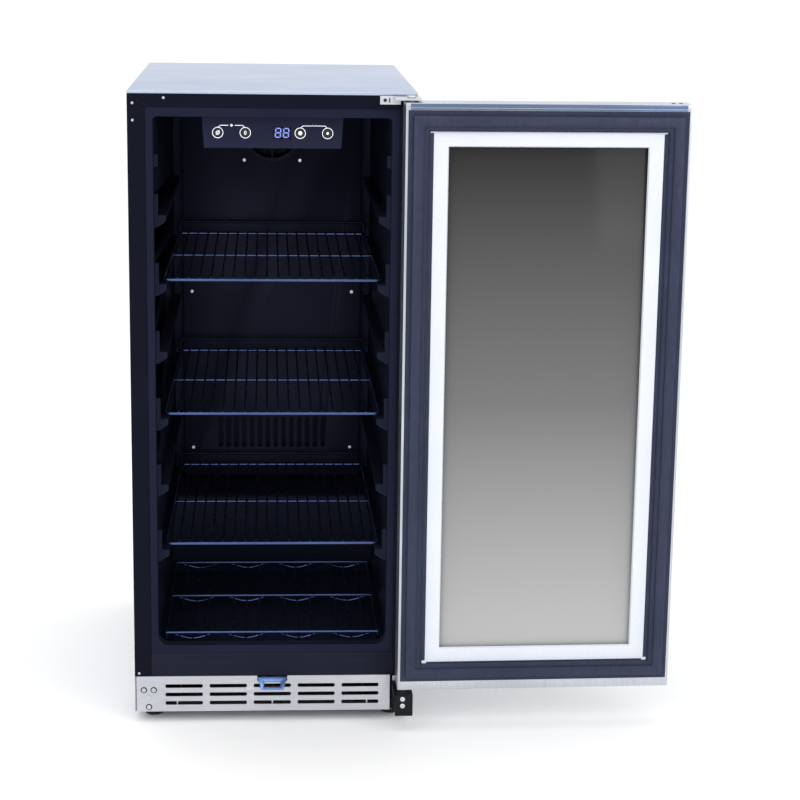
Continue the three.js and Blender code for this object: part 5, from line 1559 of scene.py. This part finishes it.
@dataclass
class Base:
    """Kick plate, strike, feet and the machinery behind them."""

    sheet: float = 1.2
    corner: float = 8.0
    slot_width: float = 51.0
    slot_height: float = 5.2
    slot_pitch: float = 60.3
    row_pitch: float = 12.2
    columns: int = 5
    rows: int = 3
    notch_width: float = 41.0
    notch_depth: float = 8.0
    screw_drop: float = 19.7  # from the plate's top to its two upper screws
    rib_places: tuple[float, ...] = (-130, 0, 130)
    stud_pitch: float = 1.3  # pitch of the levelling feet's thread
    shell: float = 52.0  # radius of the compressor's shell
    feet_reach: float = 68.0  # from the shell's axis to the ends of its feet
    feet_depth: float = 44.0
    coil_runs: int = 7
    warm_tube: float = 6.0
    warm_pitch: float = 38.0
    cold_tube: float = 8.0
    cold_pitch: float = 46.0
    fins: int = 60

    def build(self) -> None:
        """Makes every piece of the base."""
        dress(self.kick_plate(), BRUSHED_ACROSS, "cabinet", "kick_plate")
        dress(refit("lock_strike", "lock_tongue", 0.3), BLUE_ZINC, "cabinet", "lock_strike")
        dress(refit("base_pan", "floor_pan", 0.3), GALVANISED, "cabinet", "base_pan")
        dress(refit("drain_tray", "drip_tray", 0.5), TRIM_PLASTIC, "cabinet", "drain_tray")
        coat("machine_bay_roof", GALVANISED)
        self.kick_fixings()
        self.slot_ribs()
        self.feet()
        self.compressor()
        self.condenser()
        self.fans()

    def kick_plate(self) -> bpy.types.Object:
        """Presses the kick plate: a sheet with a folded top, rows of round-ended slots and a notch.

        Returns:
            The plate.
        """
        low, high = DATUM.span("kick_plate")
        sheet, corner = self.sheet, self.corner
        plate = block("slotted_kick_plate", (low.x, 0, low.z), (high.x, sheet, high.z), 0.01, 1)
        near_top = DATUM.at(0, 0, high.z - 1).z

        def crosses_the_sheet_at_the_top(edge: bmesh.types.BMEdge) -> bool:
            """Finds the two short edges at the plate's upper corners.

            Args:
                edge: An edge of the plate.

            Returns:
                Whether it is one of the two.
            """
            a, b = (vertex.co for vertex in edge.verts)
            is_short_side = edge.calc_length() > sheet * MM * 0.9 and abs(a.x - b.x) < MM * 0.1
            return is_short_side and min(a.z, b.z) > near_top

        pick(edit(plate, "EDGE"), plate, "edges", crosses_the_sheet_at_the_top)
        bpy.ops.mesh.bevel(offset=corner * MM, segments=8, affect="EDGES")
        done()
        start = (low.x + corner, 0.3, high.z - sheet)
        boolean(plate, block("fold", start, (high.x - corner, high.y, high.z), 0.01, 1), "UNION")
        notch = self.notch_width / 2
        start = (-notch, -5, high.z - self.notch_depth)
        cutters = [block("notch", start, (notch, 30, high.z + 9), 1.5, 3)]
        half, rise = self.slot_width / 2, self.slot_height / 2
        for column in range(self.columns):
            x = (column - (self.columns - 1) / 2) * self.slot_pitch
            for row in range(self.rows):
                z = low.z + self.row_pitch * (row + 1)
                start, end = (x - half, -6, z - rise), (x + half, 8, z + rise)
                cutters.append(block("slot", start, end, rise * 0.7, 4))
        boolean(plate, join("cutters", cutters))
        apply_modifier(plate, "TRIANGULATE")
        round_edges(plate, 0.35, 2)
        return plate

    def kick_fixings(self) -> None:
        """Sets the screws and the stud at the kick plate's left end, with a black disc under each screw that
        is painted shade.
        """
        low, high = DATUM.span("kick_plate")
        maker = ScrewMaker(diameter=6.4, height=1.7, seed=2)
        middle = low.x + 16.6
        places = [
            (low.x + 9.8, 0, high.z - self.screw_drop),
            (low.x + 23.3, 0, high.z - self.screw_drop),
            (middle, 0, low.z + 6.5),
        ]
        dress(maker.set_of("kick_plate_screws", places), BRIGHT_ZINC, "cabinet")
        # black discs under the screws: painted shade round them
        disc = [(4.4, 0), (4.4, 0.25)]
        painted_shade_rings = [turned("washer", disc, (x, -0.25, z), BACKWARDS, 32) for x, _, z in places]
        dress(join("kick_plate_washers", painted_shade_rings), BLACK_RUBBER_AND_PAINTED_SHADE, "cabinet")
        profile = [(1.2, 0), (2.2, 0.5), (2.2, 1.6), (3.0, 1.8), (3.0, 2.4), (2.4, 2.6)]
        stud = turned("kick_plate_stud", profile, (middle, -2.7, low.z + 20), BACKWARDS, 32)
        dress(stud, BRIGHT_ZINC, "cabinet")

    def slot_ribs(self) -> None:
        """Adds the three narrow ribs that stiffen the bottom row of slots."""
        foot = DATUM.span("kick_plate")[0].z
        ribs = [
            block("rib", (x - 0.9, 1.6, foot + 9), (x + 0.9, 3.2, foot + 15.5), 0.3, 2)
            for x in self.rib_places
        ]
        dress(join("kick_plate_ribs", ribs), BRUSHED_ACROSS, "cabinet")

    def feet(self) -> None:
        """Turns the four levelling feet: a domed glide and a threaded stud."""
        for foot in ("front_left", "front_right", "rear_left", "rear_right"):
            node = f"{foot}_foot"
            low, high = DATUM.span(node)
            x, y = (low.x + high.x) / 2, (low.y + high.y) / 2
            wide = (high.x - low.x) / 2
            shoulder = 14.2
            glide = [
                (wide * 0.6, 0), (wide * 0.72, 0.2), (wide * 0.86, 1.2), (wide * 0.95, 3.0),
                (wide * 0.99, 6.0), (wide, 9), (wide, shoulder - 1), (wide - 0.8, shoulder),
                (wide * 0.4, shoulder + 0.4),
            ]
            pad = turned(f"{foot}_glide", glide, (x, y, low.z), sides=64)
            stud = [(3.2, shoulder)]
            level = shoulder
            while level < high.z - 2.4:
                stud += [(4.0, level + self.stud_pitch / 2), (3.25, level + self.stud_pitch)]
                level += self.stud_pitch
            stud += [(3.0, high.z - 0.6), (2.4, high.z)]
            thread = turned(f"{foot}_thread", stud, (x, y, low.z), sides=24)
            dress(join(f"{foot}_levelling_foot", [pad, thread]), FOOT_RUBBER, node, node)

    def compressor(self) -> None:
        """Makes the compressor: a drawn shell with its weld seam, feet and terminal box."""
        low, high = DATUM.span("compressor")
        reach, deep = self.feet_reach, self.feet_depth
        x, y = low.x + reach, (low.y + high.y) / 2
        base = low.z
        r, tall = self.shell, high.z - base
        profile = [
            (30, 2), (40, 2.2), (46, 6), (50.5, 12), (r, 20), (r, 62), (r + 1.2, 63.5), (r + 1.2, 69),
            (r, 70.5), (r, tall - 40), (r * 0.96, tall - 26), (r * 0.86, tall - 13), (r * 0.66, tall - 4.5),
            (r * 0.4, tall - 0.6), (r * 0.2, tall),
        ]
        shell = turned("compressor_shell", profile, (x, y, base), sides=64)
        start, end = (x + r - 6, y - 20, base + 50), (x + r + 18, y + 20, base + 95)
        box = block("terminal_box", start, end, 3, 3)
        start, end = (x - reach, y - deep, base), (x + reach, y + deep, base + 3)
        parts = [shell, box, block("compressor_feet", start, end, 1.2, 2)]
        for dx in (-58, 58):
            for dy in (-34, 34):
                rubber = [(9, 0.2), (9, 6), (6.5, 7), (6.5, 11), (8, 12), (8, 14)]
                parts.append(turned("grommet", rubber, (x + dx, y + dy, base + 2.9), sides=24))
        dress(join("sealed_compressor", parts), BLACK_LACQUER, "cabinet", "compressor")

    def condenser(self) -> None:
        """Bends the warm coil in the base and the cold coil behind the cover."""
        low, high = DATUM.span("condenser_coil")
        tube, pitch, runs = self.warm_tube, self.warm_pitch, self.coil_runs
        half = high.x - pitch / 2 - tube / 2
        first = low.y + 10
        z = high.z - 12
        route = serpentine(runs, pitch, half, lambda x, along: (x, first + along, z))
        parts = [rod("warm_tube", route, tube, resolution=4)]
        last = first + (runs - 1) * pitch
        for side in (-1, 1):
            x = side * (half - 8)
            start, end = (x - 0.6, first - 10, low.z), (x + 0.6, last + 10, z + 12)
            parts.append(block("comb", start, end, 0.2, 1))
        dress(join("warm_coil", parts), COPPER, "cabinet", "condenser_coil")
        low, high = DATUM.span("evaporator_coil")
        tube, pitch = self.cold_tube, self.cold_pitch
        half = high.x - pitch / 2 - tube / 2
        y = (low.y + high.y) / 2
        first = low.z + 9
        route = serpentine(runs, pitch, half, lambda x, along: (x, y, first + along))
        parts = [rod("cold_tube", route, tube, resolution=4)]
        last = first + (runs - 1) * pitch
        for number in range(self.fins):
            x = -half + 4 + number * (2 * half - 8) / (self.fins - 1)
            start, end = (x - 0.2, y - 7, first - 9), (x + 0.2, y + 7, last + 9)
            parts.append(block("fin", start, end, 0.05, 1))
        dress(join("cold_coil", parts), COIL_ALUMINIUM, "cabinet", "evaporator_coil")

    def fans(self) -> None:
        """Makes both rotors with twisted blades, and their motors."""
        rotor("evaporator_fan", "cabin_fan_rotor", 26, 7)
        rotor("condenser_fan", "cooling_fan_rotor", 34, 5)
        motors = (
            ("condenser_fan_motor", "cooling_fan_motor", 0.8),
            ("evaporator_fan_motor", "cabin_fan_motor", 0.6),
        )
        for node, name, rounding in motors:
            dress(refit(node, name, rounding, 3), BLACK_CASTING, "cabinet", node)


def serpentine(runs: int, pitch: float, half: float, place: Callable[[float, float], Point]) -> list[Point]:
    """Lists the points of straight runs joined by half circles.

    Args:
        runs: Number of straight runs.
        pitch: Distance between runs.
        half: Half the length of a run.
        place: Turns a run's own two coordinates into a place.

    Returns:
        The route in cabinet millimetres.
    """
    route = []
    bend_steps = 12
    for run in range(runs):
        side = -1 if run % 2 else 1
        along = run * pitch
        route += [place(-side * half, along), place(side * half, along)]
        if run == runs - 1:
            break
        for step in range(1, bend_steps):
            angle = math.pi * step / bend_steps
            reach = math.sin(angle) * pitch / 2
            rise = (1 - math.cos(angle)) * pitch / 2
            route.append(place(side * (half + reach), along + rise))
    return route


def rotor(node: str, name: str, hub: float, blades: int) -> None:
    """Makes a fan rotor: a domed hub with twisted, rounded blades.

    Args:
        node: The CAD node that gives its place and size.
        name: Name of the piece.
        hub: Diameter of the hub in millimetres.
        blades: Number of blades.
    """
    low, high = DATUM.span(node)
    x, z = (low.x + high.x) / 2, (low.z + high.z) / 2
    depth = high.y - low.y
    tip = min(high.x - low.x, high.z - low.z) / 2 - 0.5
    r = hub / 2
    profile = [(r * 0.3, 0), (r * 0.75, 0.2), (r * 0.95, 1.2), (r, 2.6), (r, depth)]
    parts = [turned("hub", profile, (x, low.y, z), BACKWARDS, 40)]
    clear_selection()
    bpy.ops.mesh.primitive_cube_add(size=1)
    blade = bpy.context.object
    length = (tip - r + 2) * MM  # each blade starts 2 mm inside the hub
    blade.scale = (depth * 1.1 * MM, 1.3 * MM, length)
    settle(blade, "blade")
    edit(blade)
    bpy.ops.mesh.subdivide(number_cuts=5)
    done()
    for vertex in blade.data.vertices:
        share = vertex.co.z / length + 0.5
        lean = math.radians(52 - 20 * share)
        wide = vertex.co.x * (0.75 + 0.75 * math.sin(math.pi * (0.15 + 0.6 * share)))
        thick = vertex.co.y
        vertex.co.x = wide * math.cos(lean) - thick * math.sin(lean)
        vertex.co.y = (wide * math.sin(lean) + thick * math.cos(lean)) * 0.62
        vertex.co.z += (r - 2) * MM + length / 2
    round_edges(blade, 0.4, 2, 60)
    for number in range(blades):
        turn = Matrix.Rotation(2 * math.pi * number / blades, 4, "Y")
        move = Matrix.Translation(DATUM.at(x, low.y + depth / 2, z)) @ turn
        parts.append(copy_of(blade, f"blade_{number}", move))
    bpy.data.objects.remove(blade)
    dress(join(name, parts), FAN_PLASTIC, node, node)


# ---------------------------------------------------------------- hinges


@dataclass
class Hinges:
    """The plated upper hinge, the cast lower one and their pins."""

    screw_inset: float = 12.0  # from the lower hinge's side to its screws
    screw_drops: tuple[float, float] = (19.0, 9.5)  # from its top to each screw
    socket: float = 2.3  # radius of the black mark for the socket in the upper hinge's face, painted shade

    def build(self) -> None:
        """Makes both hinges."""
        plate = refit("upper_hinge", "upper_hinge_plate", 0.4, 3)
        dress(plate, BRUSHED_ACROSS, "cabinet", "upper_hinge")
        casting = refit("lower_hinge", "lower_hinge_casting", 0.8, 3)
        dress(casting, BLACK_CASTING, "cabinet", "lower_hinge")
        for end in ("upper", "lower"):
            pin = refit(f"{end}_hinge_pin", f"{end}_pin", 0.3)
            dress(pin, BRIGHT_ZINC, "cabinet", f"{end}_hinge_pin")
        self.painted_socket_and_slot_shade()
        low, high = DATUM.span("lower_hinge")
        maker = ScrewMaker(diameter=7.0, height=2.0, seed=9)
        places = [(low.x + self.screw_inset, low.y, high.z - drop) for drop in self.screw_drops]
        dress(maker.set_of("lower_hinge_screws", places), BRIGHT_ZINC, "cabinet")

    def painted_socket_and_slot_shade(self) -> None:
        """Puts black marks on the upper hinge's face for the driver socket and the adjusting slot: painted
        shade where the holes are.
        """
        low, high = DATUM.span("upper_hinge")
        profile = [(1.0, 0), (self.socket, 0.1), (self.socket, 0.3), (1.0, 0.35)]
        foot = (low.x + 6.5, -2.6, high.z - 5.5)
        dress(turned("upper_hinge_socket", profile, foot, BACKWARDS, 24), BLACK_RUBBER_AND_PAINTED_SHADE, "cabinet")
        start, end = (low.x + 11.5, -2.55, high.z - 8.5), (low.x + 13, -2.2, high.z - 2.5)
        dress(block("upper_hinge_slot", start, end, 0.15, 2), BLACK_RUBBER_AND_PAINTED_SHADE, "cabinet")


# ---------------------------------------------------------------- door


@dataclass
class Door:
    """The glazed door, modelled shut and swung to where it stands open."""

    nub: float = 4.2  # reach of the small corner tips of the white trim
    lap: float = 2.0  # how far the gasket's lip lies over the steel rim at the sides
    lap_top: float = 3.2  # the same at the top
    gasket_width: float = 32.4
    hem_lip: float = 2.6  # height of the hem's lower strip
    trim_inset: float = 2.2  # from the node's side edges to the white moulding
    trim_rise: float = 5.1  # how far the moulding stands above the node
    trim_width: float = 20.2
    plug_places: tuple[float, float] = (12.0, 22.0)  # from the door's free edge
    plug_depth: float = 27.0  # from the cabinet's front face, door shut
    step: float = 0.02  # smallest step that keeps a moulding's foot off the surface below

    def __post_init__(self) -> None:
        """Reads the shut door's planes."""
        self.low, self.high = door_span("door_skin")

    def swing(self, piece: bpy.types.Object) -> bpy.types.Object:
        """Carries a piece that was modelled on the shut door to the open one.

        Args:
            piece: The piece.

        Returns:
            The piece, in its place on the open door.
        """
        piece.data.transform(DOOR_SWING)
        return piece

    def build(self) -> None:
        """Makes every piece of the door."""
        dress(refit("door_skin", "door_shell", 0.6, 3), BRUSHED_UPRIGHT, "door", "door_skin")
        self.back_plate()
        coat("door_core", FOAM)
        self.gasket()
        self.window_trim()
        self.panes()
        self.bushes()
        self.handle()
        self.lock()
        self.plugs()

    def gasket(self) -> None:
        """Extrudes the magnetic gasket with its ribs and welds its corners in mitres."""
        low, high = door_span("door_gasket")
        step = self.step
        ribs = [
            (step, 0.5), (6.4, 0.0), (0.5, 7.4), (0.6, 0.5), (11.4, 0.0), (0.5, 0.9), (0.8, 0.0),
            (0.6, -2.8), (4.0, 0.0), (0.5, 0.8), (0.6, 0.0), (0.5, -0.8), (0.4, -3.8),
        ]
        used = sum(inward for inward, _ in ribs)
        height = sum(up for _, up in ribs)
        ribs += [(self.gasket_width - used, 0.0), (step, -height)]
        outer = (high.x + self.lap, low.z, high.z + self.lap_top)
        piece = swept_frame("ribbed_gasket", outer, self.high.y + step, ribs)
        smooth(piece, 40)
        dress(self.swing(piece), GASKET_PVC, "door", "door_gasket")
        self.top_hem(outer[2])

    def top_hem(self, start: float) -> None:
        """Lays two thin strips along the door's top edge, above the gasket, whose darker blue is painted
        shade on the rim.

        Args:
            start: Height of the gasket's upper edge.
        """
        reach, face, top = self.high.x - 6, self.high.y, self.high.z - 0.7
        lip = start + self.hem_lip
        strips = [
            block("hem", (-reach, face - 0.3, start + 0.4), (reach, face + 0.4, lip), 0.3, 3),
            block("hem", (-reach, face - 0.3, lip + 0.7), (reach, face + 0.6, top), 0.45, 4),
        ]
        dress(self.swing(join("door_top_hem", strips)), HEM_PAINTED_SHADE, "door")

    def window_trim(self) -> None:
        """Moulds the white frame round the glass, with a small tip at each outer corner."""
        low, high = door_span("window_trim")
        half, top = high.x - self.trim_inset, high.z + self.trim_rise
        step = self.step
        rise = high.y - self.high.y - step
        section = [
            (step, rise - 1.2), (0.35, 0.85), (0.85, 0.35), (self.trim_width - 3.4, 0.0), (0.85, -0.35),
            (0.35, -0.85), (1.0 - step, -(rise - 1.2) + 0.01), (step, -0.01),
        ]
        piece = swept_frame("white_window_trim", (half, low.z, top), self.high.y + step, section)
        smooth(piece, 40)
        parts = [piece]
        for side in (-1, 1):
            for z, up in ((low.z, -1), (top, 1)):
                x = side * half
                reach = self.nub * 0.5
                a = (min(x, x + side * reach) - 2.2, high.y - 1.8, min(z, z + up * reach) - 2.2)
                b = (max(x, x + side * reach) + 2.2, high.y - 0.1, max(z, z + up * reach) + 2.2)
                parts.append(block("corner_tip", a, b, 0.75, 3))
        dress(self.swing(join("window_trim_moulding", parts)), WHITE_ABS, "door", "window_trim")

    def back_plate(self) -> None:
        """Widens the back plate's opening to clear the glass that shows inside the white frame."""
        low, high = door_span("window_trim")
        plate = refit("door_liner", "door_back_plate", 0.3)
        plate.data.transform(DOOR_SWING.inverted())
        middle = (low.z + high.z) / 2
        for vertex in plate.data.vertices:
            x, z = (vertex.co.x - DATUM.x) / MM, vertex.co.z / MM
            if abs(x) < high.x and low.z < z < high.z:
                vertex.co.z += (self.trim_rise + 3 if z > middle else -4) * MM
        dress(self.swing(plate), TRIM_PLASTIC, "door", "door_liner")

    def panes(self) -> None:
        """Dresses the two panes and the spacer between them."""
        low, high = door_span("inner_glass")
        span = (low.z * MM, high.z * MM)
        # the panes' colour, dark at the top and light at the bottom, is a painted reflection; the inner pane
        # is nearly opaque
        inner = PaneFinish(
            "tinted_low_emission_glass", "tinted_glass", "222222", "6F6F6F", "BABABA", (0.97, 0.97),
            *span, roughness=0.12, specular=0.16,
        )
        outer = PaneFinish(
            "grey_float_glass", "tinted_glass", "1E1F22", "242528", "2A2B2E", (0.62, 0.62), *span
        )
        dress(refit("inner_glass", "inner_pane", 0.4), inner, "door", "inner_glass")
        dress(refit("outer_glass", "outer_pane", 0.4), outer, "door", "outer_glass")
        dress(refit("glass_spacer", "pane_spacer", 0.3), SPACER_METAL, "door", "glass_spacer")

    def bushes(self) -> None:
        """Turns the two acetal bushes that the hinge pins run in."""
        for end in ("lower", "upper"):
            bush = refit(f"{end}_door_bush", f"{end}_pin_bush", 0.3)
            dress(bush, ACETAL, "door", f"{end}_door_bush")

    def handle(self) -> None:
        """Turns the bar handle with domed ends, and its two posts with collars."""
        low, high = door_span("handle_bar")
        x, y = (low.x + high.x) / 2, (low.y + high.y) / 2
        r, tall = (high.x - low.x) / 2, high.z - low.z
        end_cap = [
            (r * 0.55, 0), (r * 0.8, 0.4), (r * 0.94, 1.4), (r, 3), (r, 8), (r - 0.5, 8.4), (r - 0.5, 9.2),
            (r, 9.6),
        ]
        profile = end_cap + [(radius, tall - along) for radius, along in reversed(end_cap)]
        bar = turned("handle_tube", profile, (x, y, low.z), sides=64)
        dress(self.swing(bar), BRUSHED_UPRIGHT, "door", "handle_bar")
        for end in ("lower", "upper"):
            a, b = door_span(f"{end}_handle_post")
            z = (a.z + b.z) / 2
            post, long = (b.z - a.z) / 2, b.y - a.y
            neck = post - 0.4
            profile = [
                (neck - 1, 0), (neck - 1, 2.4), (neck, 3.6), (neck, long - 4), (post, long - 3.4),
                (post, long - 0.5), (neck, long),
            ]
            stem = turned(f"{end}_handle_stem", profile, (x, a.y, z), BACKWARDS, 40)
            dress(self.swing(stem), BRUSHED_UPRIGHT, "door", f"{end}_handle_post")

    def lock(self) -> None:
        """Dresses the lock's barrel and its turning plug."""
        dress(refit("lock_barrel", "lock_barrel_shell", 0.4, 3), BRIGHT_ZINC, "door", "lock_barrel")
        dress(refit("lock_cam", "lock_plug_and_cam", 0.3), BRIGHT_ZINC, "lock_plug", "lock_cam")

    def plugs(self) -> None:
        """Closes the spare hinge holes at the door's free side with two small plugs."""
        profile = [(2.6, 0), (2.6, 0.3), (2.2, 0.6), (1.0, 0.8)]
        z = self.high.z - 0.05
        plugs = [
            turned("plug", profile, (self.low.x + along, -self.plug_depth, z), sides=24)
            for along in self.plug_places
        ]
        dress(self.swing(join("spare_hole_plugs", plugs)), BLACK_RUBBER_AND_PAINTED_SHADE, "door")


# ---------------------------------------------------------------- studio


@dataclass(frozen=True)
class Studio:
    """A white sweep, three soft boxes and the camera."""

    lens_mm: float = 94.13
    camera_place: tuple[float, float, float] = (-6.2, -2718.5, 1077.0)  # cabinet millimetres
    right: tuple[float, float, float] = (0.99801, -0.06132, 0.01452)
    up: tuple[float, float, float] = (-0.00045, 0.22348, 0.97471)
    sky: float = 1.04
    floor_size: float = 14.0  # metres, as are the places below
    aim: tuple[float, float, float] = (0, 0, 0.45)
    boxes: tuple[tuple[str, tuple[float, float, float], float, float], ...] = (  # place, size and watts
        ("key_box", (-1.6, -2.6, 2.3), 1.8, 18),
        ("fill_box", (1.9, -2.4, 1.6), 1.6, 12),
        ("top_box", (0.0, -0.2, 2.9), 2.2, 16),
    )

    def camera(self) -> None:
        """Sets up the camera."""
        data = bpy.data.cameras.new("studio_camera")
        data.lens = self.lens_mm
        data.sensor_width = 36
        camera = bpy.data.objects.new("studio_camera", data)
        bpy.context.scene.collection.objects.link(camera)
        right = Vector(self.right).normalized()
        up = (Vector(self.up) - right * right.dot(Vector(self.up))).normalized()
        back = right.cross(up)
        turn = Matrix((right, up, back)).transposed().to_4x4()
        camera.matrix_world = Matrix.Translation(DATUM.at(*self.camera_place)) @ turn
        bpy.context.scene.camera = camera

    def floor(self) -> None:
        """Lays a wide, pale floor."""
        clear_selection()
        bpy.ops.mesh.primitive_plane_add(size=self.floor_size, location=(0, 3, 0))
        floor = settle(bpy.context.object, "studio_floor")
        floor.data.materials.append(WHITE_PAPER.make())

    def lights(self) -> None:
        """Hangs the soft boxes and whitens the sky."""
        world = bpy.data.worlds.new("studio_sky")
        bpy.context.scene.world = world
        world.use_nodes = True
        background = world.node_tree.nodes["Background"]
        background.inputs["Color"].default_value = (1, 1, 1, 1)
        background.inputs["Strength"].default_value = self.sky
        for name, place, size, power in self.boxes:
            light = bpy.data.lights.new(name, "AREA")
            light.size = size
            light.energy = power
            holder = bpy.data.objects.new(name, light)
            holder.location = place
            aim = Vector(self.aim) - Vector(place)
            holder.rotation_euler = aim.to_track_quat("-Z", "Y").to_euler()
            bpy.context.scene.collection.objects.link(holder)

    def build(self) -> None:
        """Sets the stage."""
        bpy.context.scene.view_settings.view_transform = "Standard"
        self.camera()
        self.floor()
        self.lights()


def main() -> None:
    """Builds the cooler's sub-assemblies in order and reports each piece."""
    logging.basicConfig(level=logging.INFO, format="%(message)s")
    Studio().build()
    shell, inside = (CabinetShell(), Cabin(), ControlPanel()), (Shelf(), BottleRack())
    for part in (*shell, *inside, Base(), Hinges(), Door()):
        part.build()
        LOG.info("%s is finished", type(part).__name__)
    clear_selection()


if __name__ == "__main__":
    main()
